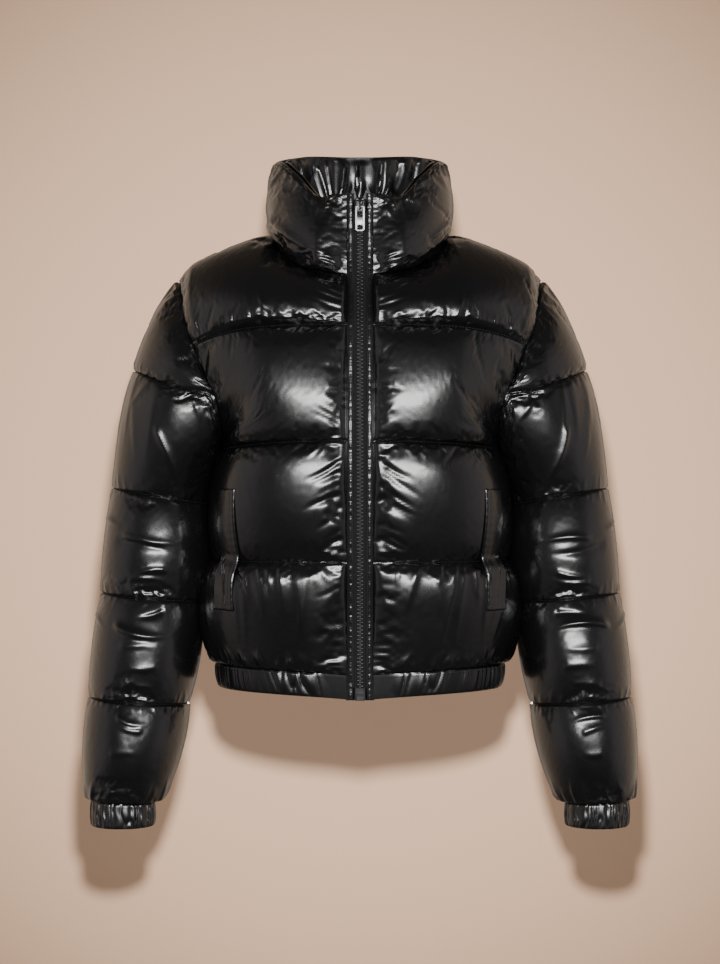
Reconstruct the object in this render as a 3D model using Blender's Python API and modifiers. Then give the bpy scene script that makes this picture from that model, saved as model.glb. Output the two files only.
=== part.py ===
"""Cropped puffer jacket, filled out as if worn: a quilted body, two quilted sleeves, a padded stand-up
collar, elastic hem and cuffs, welt pockets and a full-length separating zip with a pull tab that hinges.

Metres, +Z up. The front faces -Y and the wearer's left is +X. The origin lies between the high shoulder
points and 10 mm below them, where the wearer's neck and shoulders carry the jacket. Every piece is worked out
on the wearer's left, in millimetres, and the right-hand one is its mirror image.

A padded piece is a wall over a grid of base points, which lie on the outside of its quilting lines. The inside
is plain, one stitch wall behind them, and the outside swells between the lines.
"""

import math

import bmesh
import bpy
import numpy as np
from mathutils import Matrix

MM = 0.001

# ---- Driving dimensions, in millimetres ---------------------------------------------------------------------
SEAM_GAP = 0.3
FOLD_ROOM = 1.5  # a piece that folds back over its neighbour stands this many gaps further off
STITCH_WALL = 4.0  # cloth and flattened fill along a quilting line
PUFF_POWER = 0.45  # how square a swollen channel is: 1 is a sine arch, less is flatter with steeper sides
FRONT_EDGE = 14.0  # from the centre line to the padded fronts, beside the zip
ROUNDNESS = 0.82  # of the body's sections: 1 is an ellipse, less is squarer

HIGH_SHOULDER = (92.0, 10.0)  # x and height, where neckline and shoulder seam meet
SHOULDER_TIP = (199.0, -38.0)
SHOULDER_BOW = 3.5
NECK_FRONT = (100.0, -41.0)  # depth and height of the neckline at the zip
NECK_BACK = (74.0, -8.0)
NECK_COLUMN = 5  # the column that ends at the high shoulder
ARMPIT_LEVEL = 2.14

# Levels of the body: 0 is the hem seam, 1 to 3 are quilting lines, 4 is the neckline and shoulder seam.
# Columns: level, height in front, depth in front, height behind, depth behind, how late a row's height turns.
BODY_LEVELS = [
    (0.0, -466.5, 102.0, -458.0, 92.0, 0.6),
    (0.5, -405.0, 108.0, -402.0, 95.0, 1.5),
    (1.0, -344.5, 118.0, -344.0, 99.0, 3.0),
    (1.5, -281.0, 126.0, -284.0, 104.0, 3.0),
    (2.0, -217.0, 131.5, -224.0, 109.0, 3.0),
    (2.5, -157.0, 129.0, -164.0, 112.0, 4.0),
    (3.0, -94.5, 120.0, -103.0, 110.0, 4.5),
]
# Side seam. Columns: level, half width, height.
SIDE_SEAM = [
    (0.0, 157.0, -457.0),
    (0.5, 160.0, -401.0),
    (1.0, 160.0, -344.0),
    (1.5, 156.5, -284.0),
    (2.0, 150.5, -225.0),
    (ARMPIT_LEVEL, 151.0, -217.0),
]
# Armhole seam, armpit to shoulder tip. Columns: level, x, depth in front, depth behind, height.
ARMHOLE = [
    (ARMPIT_LEVEL, 151.0, 0.0, 0.0, -217.0),
    (2.32, 149.0, 46.0, 42.0, -208.0),
    (2.50, 150.0, 72.0, 66.0, -188.0),
    (2.68, 156.0, 82.0, 76.0, -166.0),
    (2.85, 167.0, 80.0, 77.0, -142.0),
    (3.0, 178.0, 71.0, 70.0, -114.0),
    (3.25, 187.0, 58.0, 58.0, -90.0),
    (3.5, 191.5, 40.0, 41.0, -68.0),
    (3.75, 195.5, 20.0, 21.0, -49.0),
    (4.0, 199.0, 0.0, 0.0, -38.0),
]
# Swell of the body's channels, hem to yoke. Columns: in front, behind, at the side seam or armhole, and its
# lean: above 1 the fullest place lies above the channel's middle, below 1 it lies lower.
BODY_SWELL = [
    (16.0, 17.0, 19.0, 1.35),
    (18.0, 18.0, 10.0, 1.5),
    (20.0, 19.0, 5.0, 0.72),
    (20.0, 20.0, 19.0, 0.65),
]
SEAM_ROLL = (0.11, 0.5)  # share of a row over which the padding rises from the side seam, and its power
ZIP_ROLL = (0.5, 0.3)
UNDERARM_RELIEF = (2.2, 2.65)  # levels over which the padding returns above the folded seam under the arm
YOKE_RELIEF = (3.55, 0.48, 0.66)  # level where the yoke flattens toward the collar, and shares where that ends
BODY_LEVEL_STEPS = [
    0, 0.07, 0.25, 0.5, 0.75, 0.93, 1, 1.07, 1.25, 1.5, 1.75, 1.93, 2, 2.07,
    ARMPIT_LEVEL, 2.2, 2.32, 2.5, 2.68, 2.85, 2.94, 3, 3.06, 3.25, 3.5, 3.75, 3.93, 4,
]
FRONT_STEPS = [0, 0.04, 0.12, 0.24, 0.36, 0.47, 0.6, 0.73, 0.85, 0.95, 1]
BACK_STEPS = [0, 0.1, 0.2, 0.3, 0.4, 0.49, 0.62, 0.75, 0.86, 0.955, 1]
YOKE_REACH = (0.5, 0.25, 0.72)  # how far the yoke's control points lie from line 3 to its top edge, in x, y, z

# Rings of the sleeve: 2 to 4 are quilting lines, 5 is the cuff seam.
# Columns: level, inner x, outer x, inner height, outer height, centre y, half depth.
SLEEVE_RINGS = [
    (2.0, 170.0, 270.0, -284.0, -267.0, 0.0, 57.0),
    (3.0, 178.5, 282.0, -390.0, -381.0, -4.0, 57.0),
    (4.0, 190.0, 294.0, -501.0, -494.5, -10.0, 55.0),
    (5.0, 219.0, 298.5, -608.0, -605.0, -14.0, 43.0),
]
UPPER_LINE_INNER = (159.0, 83.0, -167.0)  # where the sleeve's first quilting line leaves the armhole
UPPER_LINE_OUTER = (246.0, -139.0)  # x and height of that line at the outer side
UPPER_LINE_SPLIT = 0.41  # share of the armhole, from the armpit, below that point
UPPER_LINE_BACK = 5.0  # that place lies this much nearer the arm's middle behind
UNDERARM_STEP = 7.0  # the line's distance from the armhole seam under the arm
# Swell of the sleeve's channels. Columns: at the inner side, at the front and back, at the outer side.
SLEEVE_SWELL = [(0.5, 9.0, 9.0), (1.0, 9.0, 4.0), (6.5, 10.0, 4.5), (6.0, 10.0, 4.5), (9.0, 11.0, 6.5)]
CHANNEL_STEPS = [0.08, 0.3, 0.7, 0.92]

CUFF_CENTRE = (259.0, -15.0)
CUFF_HALF = (33.0, 37.0)  # half width and half depth, inside the ribs
CUFF_BOTTOM = -634.5
CUFF_WALL = 3.5
CUFF_RIBS = 30
CUFF_BULGE = 1.5
RIB_HEIGHT = 3.0
BAND_ROWS = [(0.0, 0.4), (0.5, 1.0), (1.0, 0.5)]  # share of a band's height, and how full its ribs are there
BAND_EDGE = 0.15  # how far into its arch a band's bulge starts

HEM_DROP = 26.0
HEM_RIBS_FRONT = 14
HEM_RIBS_BACK = 28
HEM_BULGE = 2.0
HEM_LEAN = 2.5  # how far the band turns inward at its foot
HEM_PLAIN = (20.0, 110.0)  # from the centre line, where the ribs begin and where they are full

# Collar top. Columns: share from the zip round to the centre back, height.
COLLAR_TOP = [(0.0, 46.0), (0.25, 59.0), (0.5, 91.5), (0.75, 104.0), (1.0, 106.0)]
COLLAR_TOP_HALF = 92.0
COLLAR_TOP_DEPTH = (97.0, 76.0)  # in front and behind
COLLAR_STEPS = [0, 0.08, 0.3, 0.6, 0.85, 0.95, 1]
COLLAR_SWELL = (20.0, 10.5, 17.0)  # in front, at the side, behind
COLLAR_ROLL = (-2.0, 28.0)  # from the padded front's edge, where the padding starts and where it is full
COLLAR_FOOT_POWER = 0.95  # the padding rises this slowly from the neck seam
NECK_AXIS_RISE = 60.0  # how far above the origin the collar's seam allowances point
FACING_WALL = 2.0

ZIP_FOOT = -493.0  # height of the zip's foot
ZIP_FOOT_DEPTH = 100.0
RIBBON_ROWS = 26
STRIP_FOOT = -491.0
STRIP_INNER = 6.6  # from the centre line to the stitched strips that border the zip
STRIP_WALL = 3.4
STRIP_PROUD = 0.4  # how far the strips stand out from the quilting lines
TAPE_INNER = 1.1
TAPE_OUTER = 13.0
TAPE_WALL = 1.0
TAPE_SHORT = 6.0  # the tapes end this far below the collar's top
TAPE_CLEAR = 0.5  # from the retainer box's height above the strips' foot up to the tapes
SLIDER_HEIGHT = 32.5
SLIDER_SIZE = (9.6, 2.0, 12.0)
SLIDER_PROUD = 3.2  # from the quilting lines to the slider's front face
SLIDER_DEPTH = 8.9  # from that face to the middle of the back plate
SLIDER_RADIUS = 0.7  # of the front plate's edges
BACK_PLATE = 1.4
BACK_RADIUS = 0.4
POST_WIDTH = 1.4
POST_RADIUS = 0.1
POST_HEIGHT = 5.0
POST_RISE = 2.0
BAIL_RISE = 4.6
BAIL_SINK = 0.4
BAIL_WIDTH = 2.0
BAIL_LEG = 1.4
BAIL_BAR = 1.2
BAIL_RADIUS = 0.3
BAIL_REACH = 3.6  # from the slider's middle to the bail's legs
HINGE_STAND = 1.75  # the pull's hinge, in front of the slider's face and below its middle
HINGE_DROP = 1.2
PULL_WIDTH = 10.2
PULL_LENGTH = 27.0
PULL_THICK = 1.4
PULL_TOP = 0.8  # above the hinge
PULL_CORNER = 1.6
PULL_FOOT = 3.0  # cut off the corners at its foot
PULL_SLOT = (4.6, 1.6, 11.3)  # width, and its ends below the pull's top
PULL_WINDOW = (3.2, 6.2, 3.2)  # width, and its ends above the pull's foot
BOX_SIZE = (11.0, 5.0, 13.0)
BOX_SET_BACK = 1.2
BOX_RADIUS = 0.8

WELT_LEVELS = (0.56, 1.62)
WELT_COLUMNS = (0.505, 0.65)  # shares of the front's width, sewn edge and open edge
WELT_ROWS = 16
WELT_WALL = 3.0
WELT_LIFT = 0.05
WELT_BRIDGE = (-0.06, -0.03, 0.03, 0.06)  # levels either side that it also clears, to span the quilting line


# ---- Small helpers ------------------------------------------------------------------------------------------
def interpolate(table, key, column):
    """A smooth value from one column of a table whose first column is the key."""
    keys = np.array([row[0] for row in table], float)
    values = np.array([row[column] for row in table], float)
    slopes = np.gradient(values, keys)
    key = np.clip(key, keys[0], keys[-1])
    i = np.clip(np.searchsorted(keys, key, side="right") - 1, 0, len(keys) - 2)
    width = keys[i + 1] - keys[i]
    t = (key - keys[i]) / width
    return (
        (2 * t**3 - 3 * t**2 + 1) * values[i]
        + (t**3 - 2 * t**2 + t) * width * slopes[i]
        + (-2 * t**3 + 3 * t**2) * values[i + 1]
        + (t**3 - t**2) * width * slopes[i + 1]
    )


def mix(a, b, t):
    """A blend from a to b by t."""
    return a + (b - a) * t


def smooth(value, low, high):
    """0 below low, 1 above high, with a soft rise between."""
    t = np.clip((value - low) / (high - low), 0.0, 1.0)
    return t * t * (3 - 2 * t)


def unit(vectors):
    """Vectors scaled to length one."""
    return vectors / np.maximum(np.linalg.norm(vectors, axis=-1, keepdims=True), 1e-9)


def points(x, y, z):
    """Coordinates stacked into points."""
    return np.stack(np.broadcast_arrays(x, y, z), axis=-1).astype(float)


def puff(share):
    """Height of a swollen channel, 0 at its two quilting lines and 1 between them."""
    return np.sin(np.pi * np.clip(share, 0, 1)) ** PUFF_POWER


def surface_normals(base, ring=False):
    """Unit normals of a grid of points, from its rows and columns; a ring's columns run round and meet."""
    if ring:
        wide = np.concatenate([base[:, -1:], base, base[:, :1]], axis=1)
        along = (wide[:, 2:] - wide[:, :-2]) / 2
    else:
        along = np.gradient(base, axis=1)
    up = np.gradient(base, axis=0)
    return unit(np.cross(along, up))


# ---- Surfaces -----------------------------------------------------------------------------------------------
def armhole_edge(level, facing):
    """Points of the armhole seam, in front or behind."""
    depth = np.maximum(interpolate(ARMHOLE, level, 2 if facing < 0 else 3), SEAM_GAP / 2)
    return points(interpolate(ARMHOLE, level, 1), facing * depth, interpolate(ARMHOLE, level, 4))


def body_edge(level, facing):
    """Side seam below the armpit, armhole above it."""
    side = points(interpolate(SIDE_SEAM, level, 1), facing * SEAM_GAP / 2, interpolate(SIDE_SEAM, level, 2))
    return np.where((level < ARMPIT_LEVEL)[..., None], side, armhole_edge(level, facing))


def body_row(level, share, facing):
    """Points of the body up to line 3: each row is an arc from the centre to the side seam or armhole."""
    start = FRONT_EDGE + SEAM_GAP / 2 if facing < 0 else 0.0
    height = interpolate(BODY_LEVELS, level, 1 if facing < 0 else 3)
    depth = interpolate(BODY_LEVELS, level, 2 if facing < 0 else 4)
    turn = interpolate(BODY_LEVELS, level, 5)
    edge = body_edge(level, facing)
    end_angle = np.arccos((np.abs(edge[..., 1]) / depth) ** (1 / ROUNDNESS))
    start_angle = np.arcsin((start / edge[..., 0]) ** (1 / ROUNDNESS) * np.sin(end_angle))
    angle = mix(start_angle, end_angle, share)
    x = edge[..., 0] * (np.sin(angle) / np.sin(end_angle)) ** ROUNDNESS
    y = facing * depth * np.abs(np.cos(angle)) ** ROUNDNESS
    z = mix(height, edge[..., 2], (x / edge[..., 0]) ** turn)
    return points(x, y, z)


def top_edge(share, neck_share, facing):
    """Neckline from the centre to the high shoulder, then the shoulder seam to its tip."""
    start = FRONT_EDGE + SEAM_GAP / 2 if facing < 0 else 0.0
    depth, height = NECK_FRONT if facing < 0 else NECK_BACK
    start_angle = math.asin(start / HIGH_SHOULDER[0])
    angle = mix(start_angle, math.pi / 2, np.clip(share / neck_share, 0, 1))
    neck = points(
        HIGH_SHOULDER[0] * np.sin(angle),
        facing * np.maximum(depth * np.cos(angle), SEAM_GAP / 2),
        mix(height, HIGH_SHOULDER[1], (1 - np.cos(angle)) ** 1.1),
    )
    along = np.clip((share - neck_share) / (1 - neck_share), 0, 1)
    shoulder = points(
        mix(HIGH_SHOULDER[0], SHOULDER_TIP[0], along),
        facing * SEAM_GAP / 2,
        mix(HIGH_SHOULDER[1], SHOULDER_TIP[1], along) + 4 * SHOULDER_BOW * along * (1 - along),
    )
    return np.where((share > neck_share)[..., None], shoulder, neck)


def body_points(level, share, neck_share, facing):
    """Base points of the front (facing -1) or back (facing 1) on arrays of levels and shares."""
    lower = body_row(np.minimum(level, 3.0), share, facing)
    line = body_row(np.full_like(level, 3.0), share, facing)
    top = top_edge(share, neck_share, facing)
    reach = line + (top - line) * np.array(YOKE_REACH)
    t = np.clip(level - 3, 0, 1)[..., None]
    yoke = (1 - t) ** 2 * line + 2 * t * (1 - t) * reach + t**2 * top
    end = np.ones_like(share)
    end_line = body_row(np.full_like(level, 3.0), end, facing)
    end_top = top_edge(end, neck_share, facing)
    end_reach = end_line + (end_top - end_line) * np.array(YOKE_REACH)
    end_yoke = (1 - t) ** 2 * end_line + 2 * t * (1 - t) * end_reach + t**2 * end_top
    yoke = yoke + (armhole_edge(np.clip(level, 3, 4), facing) - end_yoke) * share[..., None] ** 4
    return np.where(level[..., None] > 3, yoke, lower)


def body_swell(level, share, facing):
    """Height of the padding above the base points of the front or back."""
    channel = np.clip(np.floor(level).astype(int), 0, 3)
    sizes = np.array(BODY_SWELL)
    aside = smooth(share, 0.45, 0.9)
    size = mix(sizes[channel, 0 if facing < 0 else 1], sizes[channel, 2], aside)
    height = size * puff(np.clip(level - channel, 0, 1) ** mix(sizes[channel, 3], 1.0, aside))
    relief_start, near, far = YOKE_RELIEF
    under_collar = smooth(level, relief_start, 4.0) * (1 - smooth(share, near, far))
    under_sleeve = np.where(channel == 2, smooth(share, 0.5, 0.85) * (1 - smooth(level, *UNDERARM_RELIEF)), 0.0)
    height = height * (1 - under_collar) * (1 - under_sleeve)
    seam = np.clip((1 - share) / SEAM_ROLL[0], 0, 1) ** SEAM_ROLL[1]
    edge = np.clip(share / ZIP_ROLL[0], 0, 1) ** ZIP_ROLL[1] if facing < 0 else 1.0
    return height * seam * edge


def panel(levels, shares, neck_column, facing):
    """Base points, normals and swell of the wearer's left front, or of the left half of the back."""
    level, share = np.meshgrid(np.array(levels, float), np.array(shares, float), indexing="ij")
    base = body_points(level, share, shares[neck_column], facing)
    normal = surface_normals(base) * -facing
    flat_seam = np.zeros_like(level, bool)
    flat_seam[:, -1] = level[:, -1] <= ARMPIT_LEVEL
    flat_seam[-1, neck_column:] = True
    normal[..., 1] = np.where(flat_seam, 0.0, normal[..., 1])
    normal[:, 0, 0] = 0.0
    return base, unit(normal), body_swell(level, share, facing)


def off_edge(edge, normal, inward):
    """Direction in the surface, square to an open edge, on the side that inward points to."""
    away = unit(np.cross(np.gradient(edge, axis=0), normal))
    return away * np.sign(np.sum(away * inward, axis=-1, keepdims=True))


def seat_ring(edge, normal, away, heading, wall):
    """Base points and normals of a piece that is sewn to an edge and leaves it along its heading."""
    rise = np.sum(heading * normal, axis=-1, keepdims=True)
    run = np.sum(heading * away, axis=-1, keepdims=True)
    angle = np.arctan2(rise, run)
    own = normal * np.cos(angle) - away * np.sin(angle)
    gap = SEAM_GAP * (1 + FOLD_ROOM * np.maximum(np.sin(angle / 2), 0))
    step = gap * (away * np.cos(angle / 2) + normal * np.sin(angle / 2))
    from_outside = edge + step
    from_inside = edge - wall * normal + step + wall * own
    return np.where(angle > 0, from_outside, from_inside), own


def body_ring(fronts, backs):
    """The armhole's edge points, normals and outward directions, in one loop from the armpit."""
    loops = []
    first = BODY_LEVEL_STEPS.index(ARMPIT_LEVEL)
    for base, normal, _ in (fronts, backs):
        edge = base[first:, -1]
        edge_normal = normal[first:, -1]
        inward = edge - base[first:, -2]
        loops.append((edge, edge_normal, off_edge(edge, edge_normal, inward)))
    joined = []
    for front, back in zip(*loops):
        joined.append(np.concatenate([front, back[-2:0:-1]]))
    for values in joined[1:]:
        values[0] = unit(values[0] * (1, 0, 1))
        values[len(loops[0][0]) - 1] = unit(values[len(loops[0][0]) - 1] * (1, 0, 1))
    joined[0][0, 1] = 0.0
    joined[0][len(loops[0][0]) - 1, 1] = 0.0
    return joined


def sleeve_points(level, turn):
    """Base points of the sleeve from its second quilting line down; turn runs 0 to 1 round the arm."""
    angle = 2 * np.pi * turn
    inner_x = interpolate(SLEEVE_RINGS, level, 1)
    outer_x = interpolate(SLEEVE_RINGS, level, 2)
    inner_z = interpolate(SLEEVE_RINGS, level, 3)
    outer_z = interpolate(SLEEVE_RINGS, level, 4)
    across = (1 - np.cos(angle)) / 2
    y = interpolate(SLEEVE_RINGS, level, 5) - interpolate(SLEEVE_RINGS, level, 6) * np.sin(angle)
    return points(mix(inner_x, outer_x, across), y, mix(inner_z, outer_z, across))


def ring_shares(edge):
    """How far each armhole point lies round the loop: 0 at the armpit, 0.5 at the shoulder tip, then back."""
    half = len(edge) // 2
    shares = np.zeros(len(edge))
    for start, stop, low in ((0, half, 0.0), (half, len(edge), 0.5)):
        loop = np.concatenate([edge, edge[:1]])[start : stop + 1]
        lengths = np.concatenate([[0], np.cumsum(np.linalg.norm(np.diff(loop, axis=0), axis=1))])
        shares[start:stop] = low + 0.5 * (lengths / lengths[-1])[: stop - start]
    return shares


def upper_line(edge, away_down, turn):
    """The sleeve's first quilting line: over the outer side, from the armhole in front to that behind."""
    height_share = 1 - np.abs(1 - 2 * turn)
    facing = np.where(turn <= 0.5, -1.0, 1.0)
    sweep = np.clip((height_share - UPPER_LINE_SPLIT) / (1 - UPPER_LINE_SPLIT), 0, 1) * np.pi / 2
    x, depth, z = UPPER_LINE_INNER
    outer = points(
        mix(x, UPPER_LINE_OUTER[0], np.sin(sweep)),
        facing * np.where(facing < 0, depth, depth - UPPER_LINE_BACK) * np.cos(sweep) ** 0.9,
        mix(z, UPPER_LINE_OUTER[1], np.sin(sweep) ** 1.5),
    )
    under = edge + UNDERARM_STEP * away_down
    blend = smooth(height_share, UPPER_LINE_SPLIT - 0.13, UPPER_LINE_SPLIT + 0.1)[:, None]
    return mix(under, outer, blend)


def sleeve_grid(edge, normal, away):
    """Base points, normals and swell of the left sleeve."""
    turn = ring_shares(edge)
    height_share = 1 - np.abs(1 - 2 * turn)
    line_b = sleeve_points(np.full_like(turn, 2.0), turn)
    down = unit(line_b - edge)
    line_a = upper_line(edge, down, turn)
    seat, seat_normal = seat_ring(edge, normal, away, unit(line_a - edge), STITCH_WALL)
    ring_c = sleeve_points(np.full_like(turn, 3.0), turn)
    slope_a, slope_b = (line_b - seat) / 2, (ring_c - line_a) / 2
    levels = [0.0] + [channel + step for channel in range(5) for step in (*CHANNEL_STEPS, 1.0)]
    rows = []
    for value in levels:
        t = value - 1
        if t <= 0:
            rows.append(mix(seat, line_a, value))
        elif t < 1:
            start_shares = (2 * t**3 - 3 * t**2 + 1) * line_a + (t**3 - 2 * t**2 + t) * slope_a
            rows.append(start_shares + (-2 * t**3 + 3 * t**2) * line_b + (t**3 - t**2) * slope_b)
        else:
            rows.append(sleeve_points(np.full_like(turn, value), turn))
    base = np.array(rows)
    level = np.array(levels)[:, None]
    own = -surface_normals(base, ring=True)
    own[0] = seat_normal
    own[-1] = unit(own[-1] * (1, 1, 0))
    channel = np.clip(np.floor(level - 1e-9).astype(int), 0, 4)
    sizes = np.array(SLEEVE_SWELL)
    inner, middle, outer = sizes[channel, 0], sizes[channel, 1], sizes[channel, 2]
    swell = np.where(
        height_share < 0.5,
        mix(inner, middle, smooth(height_share, 0.08, 0.5)),
        mix(middle, outer, smooth(height_share, 0.5, 1.0)),
    ) * puff(level - channel)
    under = smooth(height_share, UPPER_LINE_SPLIT - 0.08, UPPER_LINE_SPLIT + 0.12)
    swell = np.where(level < 1, swell * under, swell)
    return base, own, swell


# ---- Meshes -------------------------------------------------------------------------------------------------
def wall_mesh(name, base, normal, wall, swell, flip=False, ring=False):
    """A closed wall over a grid: plain inside, swollen outside, rims at its open edges.

    A ring's last column joins its first.
    """
    rows, columns = base.shape[:2]
    outside = base + normal * np.asarray(swell)[..., None]
    inside = base - normal * wall
    work = bmesh.new()
    outer = [[work.verts.new(p * MM) for p in row] for row in outside]
    inner = [[work.verts.new(p * MM) for p in row] for row in inside]

    def face(a, b, c, d):
        work.faces.new((d, c, b, a) if flip else (a, b, c, d))

    for j in range(columns if ring else columns - 1):
        k = (j + 1) % columns
        for i in range(rows - 1):
            face(outer[i][j], outer[i][k], outer[i + 1][k], outer[i + 1][j])
            face(inner[i][j], inner[i + 1][j], inner[i + 1][k], inner[i][k])
        face(outer[0][k], outer[0][j], inner[0][j], inner[0][k])
        face(outer[-1][j], outer[-1][k], inner[-1][k], inner[-1][j])
    if not ring:
        for i in range(rows - 1):
            face(outer[i][0], outer[i + 1][0], inner[i + 1][0], inner[i][0])
            face(outer[i + 1][-1], outer[i][-1], inner[i][-1], inner[i + 1][-1])
    mesh = bpy.data.meshes.new(name)
    work.to_mesh(mesh)
    work.free()
    return mesh


def make_material(name, colour, roughness, metallic=0.0):
    """A plain finish."""
    material = bpy.data.materials.new(name)
    material.use_nodes = True
    shader = material.node_tree.nodes["Principled BSDF"]
    shader.inputs["Base Color"].default_value = (*colour, 1.0)
    shader.inputs["Roughness"].default_value = roughness
    shader.inputs["Metallic"].default_value = metallic
    return material


def place(mesh, name, material, collection):
    """An object for a mesh, shaded smooth but for its sharp edges."""
    mesh.name = name
    shape = bpy.data.objects.new(name, mesh)
    mesh.materials.append(material)
    mesh.shade_smooth()
    mesh.set_sharp_from_angle(angle=math.radians(50))
    collection.objects.link(shape)
    return shape


def mirrored_copy(shape, name, collection):
    """The right-hand twin of a left-hand piece."""
    mesh = shape.data.copy()
    mesh.name = name
    mesh.transform(Matrix.Scale(-1, 4, (1, 0, 0)))
    mesh.flip_normals()
    twin = bpy.data.objects.new(name, mesh)
    collection.objects.link(twin)
    return twin


def taut_copy(corners, spans):
    """The corners of a polyline with each span cut into equal steps, so that the line stays the same."""
    result = [
        mix(start, stop, k / steps)
        for start, stop, steps in zip(corners[:-1], corners[1:], spans)
        for k in range(steps)
    ]
    return np.array([*result, corners[-1]])


def join_boxes(name, material, collection, *boxes):
    """One solid from overlapping boxes. Each box: centre, size and edge radius, in millimetres."""
    pieces = []
    for centre, size, radius in boxes:
        bpy.ops.mesh.primitive_cube_add(size=1, location=[c * MM for c in centre])
        piece = bpy.context.object
        piece.scale = [s * MM for s in size]
        bpy.ops.object.transform_apply(location=False, scale=True)
        bevel = piece.modifiers.new("soft edges", "BEVEL")
        bevel.width = radius * MM
        bevel.segments = 2
        pieces.append(piece)
    body = pieces[0]
    for piece in pieces[1:]:
        union = body.modifiers.new("join", "BOOLEAN")
        union.operation = "UNION"
        union.object = piece
    bpy.context.view_layer.update()
    depsgraph = bpy.context.evaluated_depsgraph_get()
    mesh = bpy.data.meshes.new_from_object(body.evaluated_get(depsgraph))
    mesh.transform(body.matrix_world)
    for piece in pieces:
        bpy.data.objects.remove(piece)
    mesh.materials.clear()
    place(mesh, name, material, collection)


# ---- Pieces -------------------------------------------------------------------------------------------------
def front_curve(height):
    """Depth of the front at the zip, for heights from the hem's lower edge to the collar's top."""
    rows = [(ZIP_FOOT, ZIP_FOOT_DEPTH)]
    rows += [(row[1], row[2]) for row in BODY_LEVELS]
    rows += [(NECK_FRONT[1], NECK_FRONT[0]), (COLLAR_TOP[0][1], COLLAR_TOP_DEPTH[0])]
    return interpolate(rows, height, 1)


def ribbon(name, x_range, z_range, lift, wall):
    """A strip of cloth that follows the front at the zip, its back a given lift in front of the base points."""
    heights = np.linspace(*z_range, RIBBON_ROWS)
    depth = front_curve(heights)
    normal = unit(points(0.0, -1.0, np.gradient(depth, heights)))
    middle = points(0.0, -depth, heights) + lift * normal
    base = np.stack([middle + (x, 0, 0) for x in x_range], axis=1)
    normal = np.stack([normal, normal], axis=1)
    return wall_mesh(name, base, normal, 0.0, np.full(base.shape[:2], wall))


def rib_pitch(edge, ribs):
    """Length of half a rib along an edge."""
    return np.linalg.norm(np.diff(edge, axis=0), axis=1).sum() / (2 * ribs)


def band_swell(rows, count, ribs, bulge):
    """Swell of a ribbed band: a soft bulge, and ribs that are full in the middle and lower at the edges."""
    swells = []
    for share, rib in rows:
        arch = math.sin(math.pi * min(share + BAND_EDGE, 1 - BAND_EDGE))
        swells.append(bulge * arch * np.ones(count) + ribs * rib)
    return swells


def hem_half(front, back):
    """Base points, normals and swell of the left half of the hem band, centre back to zip by its lower edge."""
    front_edge, back_edge = front[0][0], back[0][0][::-1]
    front_normal, back_normal = front[1][0], back[1][0][::-1]
    edge = np.concatenate([front_edge[:-1], (front_edge[-1:] + back_edge[:1]) / 2, back_edge[1:]])
    normal = np.concatenate([front_normal, back_normal[1:]])
    pitches = [rib_pitch(front_edge, HEM_RIBS_FRONT)] * (len(front_edge) - 1)
    pitches += [rib_pitch(back_edge, HEM_RIBS_BACK)] * (len(back_edge) - 1)
    lengths = np.linalg.norm(np.diff(edge, axis=0), axis=1)
    spans = [max(1, round(length / pitch)) for length, pitch in zip(lengths, pitches)]
    edge = taut_copy(edge, spans)
    normal = unit(taut_copy(normal, spans) * (1, 1, 0))
    count = len(edge)
    from_zip = np.clip((edge[:, 0] - HEM_PLAIN[0]) / (HEM_PLAIN[1] - HEM_PLAIN[0]), 0, 1)
    from_zip[edge[:, 1] > 0] = 1.0
    ribs = np.where(np.arange(count) % 2 == 0, 0.0, RIB_HEIGHT) * from_zip
    rows = []
    for share, _ in BAND_ROWS:
        fall = SEAM_GAP + share * (HEM_DROP - SEAM_GAP)
        rows.append(edge - points(0, 0, fall) - normal * (HEM_LEAN * share))
    swells = band_swell(BAND_ROWS, count, ribs, HEM_BULGE)
    return np.array(rows[::-1]), np.array([normal] * len(rows)), np.array(swells[::-1])


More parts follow.
